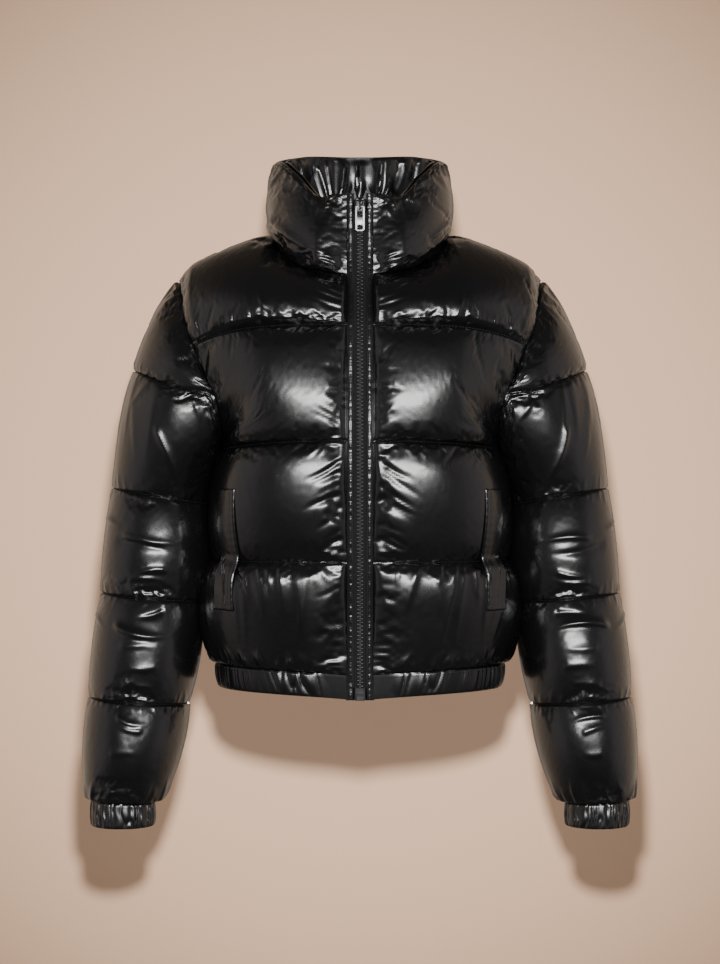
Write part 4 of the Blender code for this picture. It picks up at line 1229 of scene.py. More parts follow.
@dataclass
class Wall:
    """A closed wall of cloth: an outer skin, the inner skin behind it and the rims between them."""

    name: str
    outside: Array
    inside: Array
    outward: Array
    ring: bool = False
    outer_finish: Finish = Finish.SHELL
    inner_finish: Finish = Finish.LINING

    def rims(self) -> list[list[int]]:
        """Faces that join the edges of the two skins, where the inner one may be coarser.

        Returns:
            The faces, as vertex numbers.
        """
        outer, inner = (np.arange(skin[..., 0].size).reshape(skin.shape[:2]) for skin in (self.outside, self.inside))
        inner = inner + outer.size
        if self.ring:
            outer, inner = (np.hstack([numbers, numbers[:, :1]]) for numbers in (outer, inner))
        edges = [(outer[0], inner[0]), (outer[-1, ::-1], inner[-1, ::-1])]
        if not self.ring:
            edges += [(outer[::-1, 0], inner[::-1, 0]), (outer[:, -1], inner[:, -1])]
        faces = []
        for far, near in edges:
            step = (len(far) - 1) // (len(near) - 1)
            for k in range(len(near) - 1):
                faces.append([*far[k * step : (k + 1) * step + 1][::-1].tolist(), *near[k : k + 2].tolist()])
        return faces

    def map_skin(self, grid: Array) -> Array:
        """Flat coordinates of a grid's points in millimetres, along its middle row and column."""
        across = lengths_along(grid, 1)[grid.shape[0] // 2]
        up = lengths_along(grid, 0)[:, grid.shape[1] // 2]
        return np.stack(np.broadcast_arrays(across[None, :], up[:, None]), axis=-1).reshape(-1, 2)

    def build(self) -> bpy.types.Object:
        """Make the object.

        Returns:
            The wall, closed, its faces pointing out and mapped in millimetres.
        """
        rows, columns = self.outside.shape[:2]
        outer = quads(rows, columns, self.ring)
        inner = quads(*self.inside.shape[:2], self.ring, rows * columns)[:, ::-1]
        a, b, c = (self.outside.reshape(-1, 3)[outer[:, k]] for k in (0, 1, 3))
        facing = np.cross(b - a, c - a) * self.outward[: rows - 1, : outer.shape[0] // (rows - 1)].reshape(-1, 3)
        faces = [*outer.tolist(), *inner.tolist(), *self.rims()]
        if facing.sum() < 0:
            faces = [face[::-1] for face in faces]
        vertices = np.concatenate([self.outside.reshape(-1, 3), self.inside.reshape(-1, 3)])
        piece = add_mesh(self.name, vertices, faces, self.outer_finish, self.inner_finish)
        side = np.zeros(len(faces), int)
        side[len(outer) : len(outer) + len(inner)] = 1
        piece.data.polygons.foreach_set("material_index", side)
        self.lay_map(piece.data)
        return piece

    def lay_map(self, mesh: bpy.types.Mesh) -> None:
        """Write the flat coordinates on the mesh, unwrapped where a ring meets itself.

        Args:
            mesh: The wall's mesh.
        """
        flat = np.concatenate([self.map_skin(self.outside), self.map_skin(self.inside)])
        corners = np.empty(len(mesh.loops), int)
        mesh.loops.foreach_get("vertex_index", corners)
        values = flat[corners]
        if self.ring:
            starts = np.empty(len(mesh.polygons), int)
            mesh.polygons.foreach_get("loop_start", starts)
            girth = flat[:, 0].max() * self.outside.shape[1] / (self.outside.shape[1] - 1)
            widest = np.maximum.reduceat(values[:, 0], starts)
            face = np.repeat(np.arange(len(starts)), np.diff(np.append(starts, len(corners))))
            values[:, 0] += np.where(widest[face] - values[:, 0] > girth / 2, girth, 0.0)
        mesh.uv_layers.new(name="cloth").data.foreach_set("uv", values.ravel())

    def sew(self, node: str, flat: Pair, held: str, **size: float) -> None:
        """Make the wall, put it on the jacket and hide the solid that it stands for.

        Args:
            node: The solid that it stands for.
            flat: Its flat width and height in metres; not used.
            held: What keeps it in shape; not used.
            **size: Its flat area, where it is no rectangle; not used.
        """
        piece = self.build()
        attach(piece, "jacket")
        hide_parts(node)


@dataclass(frozen=True)
class Fold:
    """A soft ridge, or a trough where its height is below 0, between two places on a piece."""

    start_level: float
    start_share: float
    end_level: float
    end_share: float
    width: float
    height: float
    bow: float = 0.0

    def shifted(self, rng: np.random.Generator) -> "Fold":
        """The same fold a little elsewhere, so that twin pieces differ."""
        ends = self.start_level, self.start_share, self.end_level, self.end_share
        moved = [place + rng.normal(0, spread) for place, spread in zip(ends, (0.012, 0.008) * 2)]
        return Fold(*moved, self.width * rng.uniform(0.85, 1.15), self.height * rng.uniform(0.8, 1.2), self.bow)

    def behind(self) -> "Fold":
        """The same fold, a little lower and weaker, on the other side of a sleeve."""
        start, end = (self.start_level + 0.03, 1 - self.start_share), (self.end_level + 0.03, 1 - self.end_share)
        return Fold(*start, *end, self.width, self.height * 0.8, self.bow)


def raise_folds(where: Array, grid: Grid, folds: list[Fold]) -> Array:
    """Add up the folds' heights over a skin.

    Args:
        where: The skin's points.
        grid: The piece's grid, as fine as the skin.
        folds: Its folds, whose ends are levels and shares.

    Returns:
        How far each point stands out, in millimetres; nothing on a quilting line.
    """
    height = np.zeros(len(where.reshape(-1, 3)))
    spots, normals = where.reshape(-1, 3), grid.normal.reshape(-1, 3)
    for fold in folds:
        start = grid.find(where, fold.start_level, fold.start_share)
        end = grid.find(where, fold.end_level, fold.end_share)
        length = max(np.linalg.norm(end - start), 1.0)
        middle = (start + end) / 2
        near = np.flatnonzero(np.sum((spots - middle) ** 2, axis=1) < (0.62 * length + 2.5 * fold.width) ** 2)
        heading = (end - start) / length
        out = normals[near]
        offset = spots[near] - start
        t = offset @ heading / length
        aside = unit(np.cross(out, heading))
        distance = np.sum(offset * aside, axis=1) - fold.bow * 4 * t * (1 - t)
        below = distance * aside[:, 2] * np.sign(fold.height) < 0
        narrow = fold.width * (1.0 - 0.5 * smooth(t, 0.2, 1.0)) * np.where(below, 0.7, 1.3)
        fade = smooth(t, -0.06, 0.1) * (1 - smooth(t, 0.4, 1.06))
        height[near] += fold.height * np.exp(-(np.abs(distance / narrow) ** 1.5)) * fade
    from_line = np.abs(grid.level - np.round(grid.level))
    return height.reshape(grid.level.shape) * smooth(from_line, 0.0, 0.03)


@dataclass(frozen=True)
class Gathers:
    """A run of small folds that leave a quilting line or the zip's edge, uneven in length and slant."""

    first_level: float
    last_level: float
    first_share: float
    last_share: float
    count: int
    up: float
    along: float
    height: float = 1.1
    width: float = 3.2
    uneven: float = 0.45

    def folds(self, rng: np.random.Generator) -> list[Fold]:
        """Scatter folds from places on the run to those places plus the reach up and along.

        Args:
            rng: Where the unevenness comes from.

        Returns:
            The folds.
        """
        result = []
        for k in range(self.count):
            t = (k + 0.5 + rng.uniform(-0.35, 0.35)) / self.count
            level, share = mix(self.first_level, self.last_level, t), mix(self.first_share, self.last_share, t)
            scale = rng.uniform(1 - self.uneven, 1 + self.uneven)
            slant = rng.normal(0, 0.22)
            end = (level + self.up * scale + self.along * slant, share + self.along * scale + self.up * slant * 0.35)
            height = self.height * rng.uniform(1 - self.uneven, 1 + self.uneven)
            width = self.width * rng.uniform(0.75, 1.35)
            result.append(Fold(level, share, *end, width, height, rng.normal(0, 1.5)))
        return result


@dataclass
class QuiltedPiece:
    """One padded piece of the shell: a puffed outer skin, stitched down at its quilting lines, and a lining."""

    name: str
    node: str
    grid: Grid
    gathers: tuple[Gathers, ...] = ()
    folds: tuple[Fold, ...] = ()
    give: float = 4.0
    spare_cloth: float = 0.018
    pressure: float = 12.0
    fullness: float = 0.9
    fill: float = 0.8
    seed: int = 1
    lining_step: int = 2
    lining_ripple: float = 1.6
    cloth_settings: ClassVar[dict[str, float]] = {
        "quality": 5,
        "mass": 0.05,
        "tension_stiffness": 20.0,
        "compression_stiffness": 20.0,
        "shear_stiffness": 8.0,
        "bending_stiffness": 0.05,
        "air_damping": 2.0,
        "use_pressure": True,
        "use_pressure_volume": True,
        "target_volume": 0.0,
    }

    def skin(self) -> Array:
        """The outer skin before it is blown up, a little uneven."""
        rough = np.random.default_rng(self.seed).normal(0, 0.05, self.grid.level.shape)
        rough[self.grid.seams()] = 0.0
        height = self.grid.swell * self.fullness + rough
        return self.grid.base + self.grid.normal * height[..., None]

    def hang(self) -> None:
        """Put the skin in the scene as cloth that is pinned at its seams and blown up from inside."""
        self.start = self.skin()
        rows, columns = self.grid.level.shape
        self.cloth = add_mesh(self.name + "_cloth", self.start, quads(rows, columns, self.grid.ring).tolist())
        pins = self.cloth.vertex_groups.new(name="seams")
        pins.add(np.flatnonzero(self.grid.seams().ravel()).tolist(), 1.0, "REPLACE")
        cloth = self.cloth.modifiers.new("cloth", "CLOTH")
        settings = cloth.settings
        settings.vertex_group_mass = pins.name
        for name, value in self.cloth_settings.items():
            setattr(settings, name, value)
        settings.effector_weights.gravity = 0.0
        settings.shrink_min = -self.spare_cloth
        outward = Vector(self.grid.normal[rows // 2, columns // 2])
        middle = self.cloth.data.polygons[(rows // 2) * (columns if self.grid.ring else columns - 1) + columns // 2]
        settings.uniform_pressure_force = self.pressure * (1 if middle.normal.dot(outward) > 0 else -1)
        cloth.collision_settings.use_collision = False
        cloth.point_cache.frame_end = SETTLING_FRAMES

    def settle(self) -> Array:
        """Take the blown-up skin off the cloth, no point further from its start than the give.

        Returns:
            The skin's points in millimetres.
        """
        shape = self.cloth.evaluated_get(bpy.context.evaluated_depsgraph_get()).data
        flat = np.empty(len(shape.vertices) * 3)
        shape.vertices.foreach_get("co", flat)
        moved = flat.reshape(self.start.shape) / MM - self.start
        length = np.linalg.norm(moved, axis=-1, keepdims=True)
        held = self.give * np.tanh(length / self.give)
        mesh = self.cloth.data
        bpy.data.objects.remove(self.cloth)
        bpy.data.meshes.remove(mesh)
        return self.start + moved * held / np.maximum(length, 1e-6)

    def at(self, level: Array, share: Array) -> Array:
        """Points of the finished outer skin at those levels and shares.

        Args:
            level: Levels to read at.
            share: Shares to read at.

        Returns:
            The points, in millimetres.
        """
        row = np.interp(level, self.fine.level[:, 0], np.arange(self.fine.level.shape[0]))
        column = np.interp(share, self.fine.share[0], np.arange(self.fine.share.shape[1]))
        r = np.minimum(row.astype(int), self.fine.level.shape[0] - 2)
        c = np.minimum(column.astype(int), self.fine.share.shape[1] - 2)
        down, along = (row - r)[..., None], (column - c)[..., None]
        skin = self.outside
        return mix(mix(skin[r, c], skin[r, c + 1], along), mix(skin[r + 1, c], skin[r + 1, c + 1], along), down)

    def dress(self, skin: Array) -> None:
        """Crease the settled outer skin, close it with its lining, and hand the piece to the jacket's body.

        Args:
            skin: The settled skin's points.
        """
        lines = [i for i, value in enumerate(self.grid.level[:, 0]) if abs(value - round(value)) < 1e-6]
        blocks = [refine(skin[a : b + 1], self.grid.ring) for a, b in zip(lines[:-1], lines[1:])]
        skin = np.concatenate([*(block[:-1] for block in blocks), blocks[-1][-1:]])
        rng = np.random.default_rng(self.seed)
        folds = [fold.shifted(rng) for fold in self.folds]
        folds += [fold for run in self.gathers for fold in run.folds(rng)]
        self.fine = self.grid.refined()
        self.outside = skin + self.fine.normal * raise_folds(skin, self.fine, folds)[..., None]
        ripple = np.sin(np.pi * np.mod(self.grid.level, 1.0)) ** 2 * self.lining_ripple
        inside = self.grid.base - self.grid.normal * (STITCH_WALL + ripple)[..., None]
        inside = inside[:: self.lining_step, :: self.lining_step]
        piece = Wall(self.name, self.outside, inside, self.fine.normal, self.grid.ring).build()
        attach(piece, "jacket")
        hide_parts(self.node)


def blow_up(pieces: list[QuiltedPiece]) -> None:
    """Settle the cloth of all the quilted pieces together and make the pieces.

    Args:
        pieces: The padded pieces.
    """
    for piece in pieces:
        piece.hang()
    for number in range(1, SETTLING_FRAMES + 1):
        bpy.context.scene.frame_set(number)
    skins = [piece.settle() for piece in pieces]
    bpy.context.scene.frame_set(1)
    for piece, skin in zip(pieces, skins):
        piece.dress(skin)


# ---- Trim ----
def resample(line: Array, pitch: float, *others: Array) -> list[Array]:
    """Space a polyline's points evenly.

    Args:
        line: Points in order.
        pitch: Wanted distance between points, in millimetres.
        *others: Values at the same points, read at the new ones too.

    Returns:
        The even line and the other values on it.
    """
    place = lengths_along(line, 0)
    even = np.linspace(0, place[-1], max(2, round(place[-1] / pitch) + 1))
    return [read_along(even, place, values) for values in (line, *others)]


def add_fittings(name: str, vertices: Array, faces: list, finish: Finish) -> None:
    """Put many small parts on the jacket as one piece."""
    piece = add_mesh(name, vertices, faces, finish, sharp=50.0)
    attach(piece, "jacket")


@dataclass
class Stitching:
    """Lock stitches along seams: short plump threads, their ends drawn into the cloth."""

    name: str
    length: float = 3.1
    gap: float = 0.7
    thickness: float = 0.62
    sides: int = 5
    stations: Table = ((0.0, 0.45, -0.5), (0.2, 1.0, 0.35), (0.8, 1.0, 0.35), (1.0, 0.45, -0.5))
    runs: list[tuple[Array, Array]] = field(default_factory=list)

    def along(self, line: Array, outward: Array) -> None:
        """Sew along a line of points, given in millimetres with the directions off the cloth at them."""
        self.runs.append((line, outward))

    def one(self) -> tuple[Array, list[list[int]]]:
        """Points of one stitch, along the seam, aside and up, and its faces.

        Returns:
            The points and the faces.
        """
        angle = 2 * np.pi * np.arange(self.sides) / self.sides
        place, plump, lift = (np.array(column)[:, None] for column in zip(*self.stations))
        radius, sides, rings = self.thickness / 2, self.sides, len(self.stations)
        shape = points(place, radius * plump * np.cos(angle), radius * (plump * np.sin(angle) + lift)).reshape(-1, 3)
        faces = []
        for first in range(0, (rings - 1) * sides, sides):
            for k in range(sides):
                n = (k + 1) % sides
                faces.append([first + k, first + sides + k, first + sides + n, first + n])
        return shape, [*faces, list(range(sides)), list(range((rings - 1) * sides, rings * sides))[::-1]]

    def build(self) -> None:
        """Make all the stitches as one piece."""
        shape, stitch = self.one()
        vertices, faces = [], []
        share = self.length / (self.length + self.gap)
        for line, outward in self.runs:
            even, up = resample(line, self.length + self.gap, outward)
            heading, up = np.diff(even, axis=0), unit(up[:-1])
            aside = unit(np.cross(up, heading))
            for p, h, a, u in zip(even, heading, aside, up):
                first = len(vertices) * len(shape)
                vertices.append(p + (shape[:, :1] * h * share + shape[:, 1:2] * a + shape[:, 2:3] * u))
                faces.extend([first + v for v in face] for face in stitch)
        add_fittings(self.name, np.concatenate(vertices), faces, Finish.THREAD)


@dataclass
class Gathered:
    """What the elastic trims share: a rolled profile, crests that die away at the seam, and a flat size."""

    bulge: float = 1.6
    wall: float = 4.0
    rows: int = 15
    ends: Pair = (0.35, 0.55)
    cut_height: float = 30.0
    ease: float = 1.05
    ring: bool = False

    def raised(self, share: Array, crests: Array, flatness: Array | float = 1.0) -> Array:
        """Add the roll, or a share of it, to the crests and draw both ends in.

        Args:
            share: 0 at the seam, 1 at the free edge.
            crests: Height of the gathers.
            flatness: Share of the roll.

        Returns:
            The heights, in millimetres.
        """
        roll = np.sqrt(np.clip(np.sin(np.pi * (share * 0.86 + 0.08)), 0, 1))
        height = self.bulge * roll * flatness + crests
        height[0] *= self.ends[0]
        height[-1] *= self.ends[1]
        return height

    def sew(self, name: str, node: str, base: Array, outward: Array, height: Array) -> Array:
        """Close a band that stands out from its base and put it on the jacket.

        Args:
            name: The band's name.
            node: The solid that it stands for.
            base: Its points before it is gathered.
            outward: Directions off them.
            height: How far its outer skin stands out.

        Returns:
            The outer skin's points.
        """
        outside = base + outward * height[..., None]
        inside = (base - outward * self.wall)[::2, ::2]
        row = outside[self.rows // 2]
        length = lengths_along(closed(row) if self.ring else row, 0)[-1] * MM
        flat = (round(length * self.ease, 3), self.cut_height * MM)
        Wall(name, outside, inside, outward, self.ring, Finish.TRIM).sew(node, flat, "gathered")
        return outside


@dataclass
class HemBand(Gathered):
    """The elastic band under the body: fine gathers at the sides and behind, looser slanted ones beside the zip."""

    drop: float = 26.0
    lean: float = 3.6
    column_pitch: float = 1.15
    side_pitch: float = 5.4
    front_pitch: float = 15.0
    gather_height: float = 3.0
    loose: Pair = (60.0, 155.0)
    starts: Pair = (14.0, 48.0)
    lower: Pair = (72.0, 95.0)

    def half_edge(self, front: Grid, back: Grid) -> tuple[Array, Array]:
        """The body's lower edge from the zip to the centre back, and level directions off it.

        Args:
            front: The wearer's left front.
            back: The left half of the back.

        Returns:
            The edge's points and the directions.
        """
        seam = (front.base[0][-1:] + back.base[0][-1:]) / 2
        edge = np.concatenate([front.base[0][:-1], seam, back.base[0][:-1][::-1]])
        normal = np.concatenate([front.normal[0], back.normal[0][:-1][::-1]])
        edge, normal = resample(edge, self.column_pitch, unit(normal * (1, 1, 0)))
        return edge, unit(normal)

    def gathers(self, place: Array, from_zip: Array, share: Array, rng: np.random.Generator) -> Array:
        """Height of the gathers.

        Args:
            place: Distance along the whole band.
            from_zip: Distance from the nearer end.
            share: 0 at the seam, 1 at the lower edge, as a column.
            rng: Where the unevenness comes from.

        Returns:
            The height at every row and column.
        """
        looseness = 1 - smooth(from_zip, *self.loose)
        pitch = mix(self.side_pitch, self.front_pitch, looseness)
        wobble = np.convolve(rng.normal(0, 1, len(place)), np.hanning(15), "same") * 0.13
        phase = np.cumsum(np.gradient(place) / pitch) + wobble
        slant = 0.8 * looseness * np.sign(place[-1] / 2 - place)
        crest = np.abs(np.sin(np.pi * (phase + slant * share))) ** 0.75
        size = self.gather_height * mix(1.0, 0.8, looseness) * smooth(from_zip, *self.starts)
        size = size * mix(1.0, 0.55, smooth(from_zip, *self.lower))
        size = size * (1 + 0.3 * np.convolve(rng.normal(0, 1, len(place)), np.hanning(31), "same") / 3)
        return crest * size * (0.6 + 0.4 * np.sin(np.pi * np.clip(share, 0.0, 0.92)))

    def build(self, front: Grid, back: Grid) -> tuple[Array, Array]:
        """Make the band.

        Args:
            front: The wearer's left front.
            back: The left half of the back.

        Returns:
            The band's outer skin and outward directions, for its stitches.
        """
        edge, normal = (
            np.concatenate([half, (half * Side.RIGHT.flip)[-2::-1]]) for half in self.half_edge(front, back)
        )
        normal[len(normal) // 2] = (0, 1, 0)
        place = lengths_along(edge, 0)
        from_zip = np.minimum(place, place[-1] - place)
        share = np.linspace(0, 1, self.rows)[:, None]
        level = share[..., None]
        base = edge - points(0, 0, 1) * (SEAM_GAP + level * (self.drop - SEAM_GAP)) - normal * self.lean * level
        crests = self.gathers(place, from_zip, share, np.random.default_rng(11))
        height = self.raised(share, crests, mix(0.1, 1.0, smooth(from_zip, 20.0, 110.0)))
        outward = np.broadcast_to(normal, base.shape)
        return self.sew("hem_gathered", "hem_band", base, outward, height), outward


@dataclass
class Cuff(Gathered):
    """An elastic cuff: a short ring of cloth drawn into fine ribs."""

    side: Side = Side.LEFT
    ring: bool = True
    bulge: float = 0.5
    wall: float = 3.5
    ends: Pair = (0.35, 0.5)
    cut_height: float = 31.0
    centre: Pair = (259.0, -15.0)
    half: Pair = (33.0, 37.0)
    top: Pair = (-608.0, -605.0)
    bottom: float = -634.5
    ribs: int = 30
    columns: int = 240
    rib_height: float = 2.2

    def build(self) -> tuple[Array, Array]:
        """Make the cuff.

        Returns:
            Its outer skin and outward directions.
        """
        rng = np.random.default_rng(21 + self.side.value)
        turn = np.arange(self.columns) / self.columns
        angle = 2 * np.pi * turn
        uneven = sum(rng.normal(0, 0.22) * np.sin(k * angle + rng.uniform(0, 6)) for k in range(3, 15))
        share = np.linspace(0, 1, self.rows)[:, None]
        lean = 0.5 * share * np.sin(3 * angle + rng.uniform(0, 6)) + 0.12 * np.sin(9 * share + 5 * angle)
        crest = np.abs(np.sin(np.pi * (self.ribs * turn + uneven + lean))) ** 0.8
        strength = 1 + 0.25 * np.sin(2 * angle + 1.0) + 0.15 * np.sin(7 * angle)
        top = mix(*self.top, (1 - np.cos(angle)) / 2) - SEAM_GAP
        x, y = self.centre[0] - self.half[0] * np.cos(angle), self.centre[1] - self.half[1] * np.sin(angle)
        base = points(x, y, mix(top, self.bottom, share)) * self.side.flip
        outward = np.broadcast_to(points(-np.cos(angle), -np.sin(angle), 0.0), base.shape) * self.side.flip
        crests = self.rib_height * crest * strength * (0.65 + 0.35 * np.sin(np.pi * share * 0.92))
        name = f"cuff_{self.side.label}"
        return self.sew(name + "_gathered", name, base, outward, self.raised(share, crests)), outward


@dataclass
class CollarFacing:
    """The collar's inner side: glossy cloth in loose folds that catch the light behind the neck."""

    wall: float = 2.0
    loft: float = 5.0
    folds: Table = (
        (1.02, 0.90, 0.4, 0.94, 3.2, 4.5, 2),
        (0.94, -0.93, 0.4, -0.89, 4.5, 5.5, 2),
        (0.4, 0.975, 0.8, 0.97, 8, -4),
        (0.4, -0.965, 0.85, -0.975, 6, -3.5),
        (0.95, 0.995, 0.55, 0.999, 4.5, 3),
        (0.45, 0.93, 0.9, 0.85, 3, 4, -4),
        (0.97, 0.80, 0.6, 0.86, 8, 5),
        (0.35, 0.87, 0.8, 0.87, 8, -5.5),
        (0.9, -0.80, 0.4, -0.87, 3, 3.5, 2),
        (0.95, -0.85, 0.4, -0.90, 3, 3, -2),
        (0.35, -0.82, 0.95, -0.77, 9, -5),
        (0.98, -0.68, 0.4, -0.73, 6, 4.5, 2),
        (0.98, 0.70, 0.4, 0.75, 6, 4.5, -2),
        (0.98, -0.58, 0.3, -0.62, 7, -4.5),
        (0.98, 0.60, 0.3, 0.64, 7, -4.5),
        (0.95, 0.5, 0.3, 0.54, 6, 4),
        (0.95, -0.48, 0.3, -0.53, 6, 4),
        (0.90, 0.4, 0.3, 0.44, 5, 3),
        (0.90, -0.38, 0.3, -0.43, 5, 3),
    )

    def build(self, collar: Grid) -> None:
        """Make the facing.

        Args:
            collar: The whole collar, whose inner side carries it.
        """
        inner = collar.refined()
        inner.normal = -inner.normal
        inner.base = inner.base + inner.normal * (STITCH_WALL + SEAM_GAP + self.wall + self.loft)
        small = Gathers(0.98, 0.98, -0.95, 0.95, 40, -0.14, 0.0, 0.9, 2.2).folds(np.random.default_rng(31))
        height = raise_folds(inner.base, inner, [*(Fold(*row) for row in self.folds), *small])
        height = np.maximum(height, -self.loft) * smooth(np.abs(inner.share), 0.03, 0.2)
        outside = inner.base + inner.normal * height[..., None]
        behind = (inner.base - inner.normal * self.wall)[::4, ::4]
        wall = Wall("collar_inside", outside, behind, inner.normal, inner_finish=Finish.SHELL)
        wall.sew("collar_facing", (0.62, 0.085), "gathered", area=0.045)


@dataclass
class PocketWelt:
    """A stitched strip over the pocket opening: sewn along its front edge, open toward the side."""

    side: Side
    levels: Pair = (0.56, 1.62)
    shares: Pair = (0.505, 0.65)
    wall: float = 1.5
    lift: float = 0.15
    seam: float = 0.2
    rims: Pair = (0.08, 0.016)
    softness: int = 7
    rows: int = 121
    columns: int = 21

    def relief(self, rng: np.random.Generator) -> Array:
        """Height of the strip's top: rounded rims, a groove at the stitches, small puckers and a slow wave.

        Args:
            rng: Where the unevenness comes from.

        Returns:
            The height at every row and column.
        """
        across = np.linspace(0, 1, self.columns)
        along = np.linspace(0, 1, self.rows)[:, None]
        rim = np.minimum(*(np.minimum(s, 1 - s) / width for s, width in zip((across, along), self.rims)))
        rounded = np.sqrt(np.clip(1 - (1 - np.clip(rim, 0, 1)) ** 2, 0, 1))
        groove = np.exp(-(((across - self.seam) / 0.05) ** 2))
        pucker = 0.12 * np.sin(2 * np.pi * along * 17 + 3 * across + rng.uniform(0, 6)) * np.exp(-across * 3)
        wave = 0.5 * np.sin(2 * np.pi * along * 2.3 + rng.uniform(0, 6)) * across + 0.5 * across**2
        return self.wall * (0.15 + 0.85 * rounded) - 0.3 * groove + (pucker + wave) * rounded

    def build(self, body: BodyCut, front: QuiltedPiece, stitching: Stitching) -> None:
        """Make the welt.

        Args:
            body: Sizes of the body that it is sewn to.
            front: The finished front that it lies on.
            stitching: Where its stitches go.
        """
        columns = np.linspace(*self.shares, self.columns)
        level, share = np.meshgrid(np.linspace(*self.levels, self.rows), columns, indexing="ij")
        base = body.surface(level, share, Facing.FRONT)
        normal = surface_normals(base)
        near = [front.at(level + step, share) * self.side.flip - base for step in np.linspace(-0.06, 0.06, 9)]
        over = np.max([np.sum(gap * normal, axis=-1) for gap in near], axis=0)
        padded, soft = np.pad(over, ((self.softness,) * 2, (0, 0)), mode="edge"), np.hanning(2 * self.softness + 1)
        over = np.stack([np.convolve(column, soft / soft.sum(), "valid") for column in padded.T], axis=1)
        outward = normal * self.side.flip
        ground = (base + normal * (over + self.lift)[..., None]) * self.side.flip
        outside = ground + outward * self.relief(np.random.default_rng(41 + self.side.value))[..., None]
        width = lengths_along(outside, 1)[self.rows // 2, -1]
        length = lengths_along(outside, 0)[-1, self.columns // 2]
        name = f"pocket_welt_{self.side.label}"
        wall = Wall(name + "_strip", outside, ground[::2, ::2], outward, inner_finish=Finish.SHELL)
        wall.sew(name, (round(width * MM, 3), round(length * MM, 3)), "folded")
        column = round(self.seam * (self.columns - 1))
        stitching.along(outside[3:-3, column], outward[3:-3, column])


@dataclass(frozen=True)
class ZipCut:
    """Where the zip and its borders run: depth in front of the coronal plane at each height."""

    profile: Table = (
        (-493, 100), (-466.5, 102), (-405, 108), (-344.5, 118), (-281, 126),
        (-217, 131.5), (-157, 129), (-94.5, 120), (-41, 100), (46, 97),
    )
    low: float = -491.0
    high: float = 46.0
    strip_lift: float = 0.4
    strip: Pair = (6.4, 14.3)
    strip_wall: float = 3.4
    tape: Pair = (0.2, 15.2)
    tape_wall: float = 1.0

    def depth(self, height: float) -> float:
        """Depth in front of the coronal plane at one height."""
        return interpolate(self.profile, np.array([height]), 1)[0]

    def middle(self, height: Array, lift: float) -> tuple[Array, Array]:
        """Find points on the centre line.

        Args:
            height: Heights of the points.
            lift: Their distance in front of the cut.

        Returns:
            The points and the directions off the zip there.
        """
        depth = interpolate(self.profile, height, 1)
        normal = unit(points(0.0, -1.0, np.gradient(depth, height)))
        return points(0.0, -depth, height) + lift * normal, normal


@dataclass
class ZipStrip:
    """A flat strip of cloth along one side of the zip."""

    side: Side
    cut: ZipCut

    def base(self, height: Array, lift: float, x: Array) -> tuple[Array, Array]:
        """Points of a left-hand strip at some heights and distances from the centre line, and directions off it."""
        middle, normal = self.cut.middle(height, lift)
        return middle[:, None, :] + points(x, 0.0, 0.0)[None], np.repeat(normal[:, None, :], len(x), axis=1)

    def sew(
        self, kind: str, ending: str, base: Array, outward: Array, top: Array,
        finish: Finish, row: int, turned_under: float, held: str,
    ) -> Wall:
        """Close the strip and put it on the jacket.

        Args:
            kind: What the solid's name starts with.
            ending: What the piece's name adds to it.
            base: The left-hand strip's points.
            outward: Directions off it.
            top: How far it stands out.
            finish: What it is made of.
            row: The row whose width counts.
            turned_under: How much of its width is folded out of sight.
            held: What keeps it in shape.

        Returns:
            The strip's wall, on its own side.
        """
        flip, name = self.side.flip, f"{kind}_{self.side.label}"
        outside, inside = (base + outward * top[..., None]) * flip, (base * flip)[::2, ::2]
        wall = Wall(f"{name}_{ending}", outside, inside, outward * flip, False, finish, finish)
        width = (lengths_along(outside, 1)[row, -1] + turned_under) * MM
        wall.sew(name, (round(width, 4), round(lengths_along(outside, 0)[-1, 0] * MM, 3)), held)
        return wall


@dataclass
class ZipBorder(ZipStrip):
    """The narrow stitched strips of shell cloth that border the zip on each side."""

    rows: int = 641
    columns: int = 21
    turned_under: float = 1.2
    seam: float = 0.4
    stitch: float = 3.1

    def build(self, stitching: Stitching) -> None:
        """Make the strip.

        Args:
            stitching: Where its stitches go.
        """
        rng = np.random.default_rng(51 + self.side.value)
        height, across = np.linspace(self.cut.low, self.cut.high, self.rows), np.linspace(0, 1, self.columns)
        base, outward = self.base(height, self.cut.strip_lift - self.cut.strip_wall, mix(*self.cut.strip, across))
        off_seam = (across - self.seam) / np.where(across < self.seam, self.seam, 1 - self.seam)
        rounded = 1 - 0.5 * np.abs(off_seam) ** 1.7
        near_seam = np.exp(-((off_seam / 0.3) ** 2))
        ripple = np.convolve(rng.normal(0, 1, self.rows), np.hanning(9), "same")[:, None] * 0.1
        drawn_in = 0.1 * np.sin(2 * np.pi * height / self.stitch)[:, None] * near_seam
        top = self.cut.strip_wall * rounded + (ripple + drawn_in) * near_seam
        cloth = Finish.SHELL, self.rows // 2, self.turned_under, "folded"
        wall = self.sew("zip_strip", "sewn", base, outward, top, *cloth)
        column = round(self.seam * (self.columns - 1))
        stitching.along(wall.outside[2:-2, column], wall.outward[2:-2, column])


@dataclass
class ZipTape(ZipStrip):
    """Woven tape under each row of teeth, with a corded edge."""

    low: float = -490.6
    high: float = 40.0
    rows: int = 181
    columns: int = 13
    cords: Table = ((0.2, 0.06, 0.06), (0.0625, 0.32, 0.05))

    def build(self) -> None:
        """Make the tape."""
        height, across = np.linspace(self.low, self.high, self.rows), np.linspace(0, 1, self.columns)
        lift = self.cut.strip_lift - self.cut.strip_wall - SEAM_GAP - self.cut.tape_wall
        base, outward = self.base(height, lift, mix(*self.cut.tape, across))
        cord = sum(rise * np.exp(-(((across - place) / width) ** 2)) for rise, place, width in self.cords)
        top = np.broadcast_to(self.cut.tape_wall + cord, base.shape[:2])
        self.sew("zip_tape", "woven", base, outward, top, Finish.TAPE, 0, 0.0, "hung")


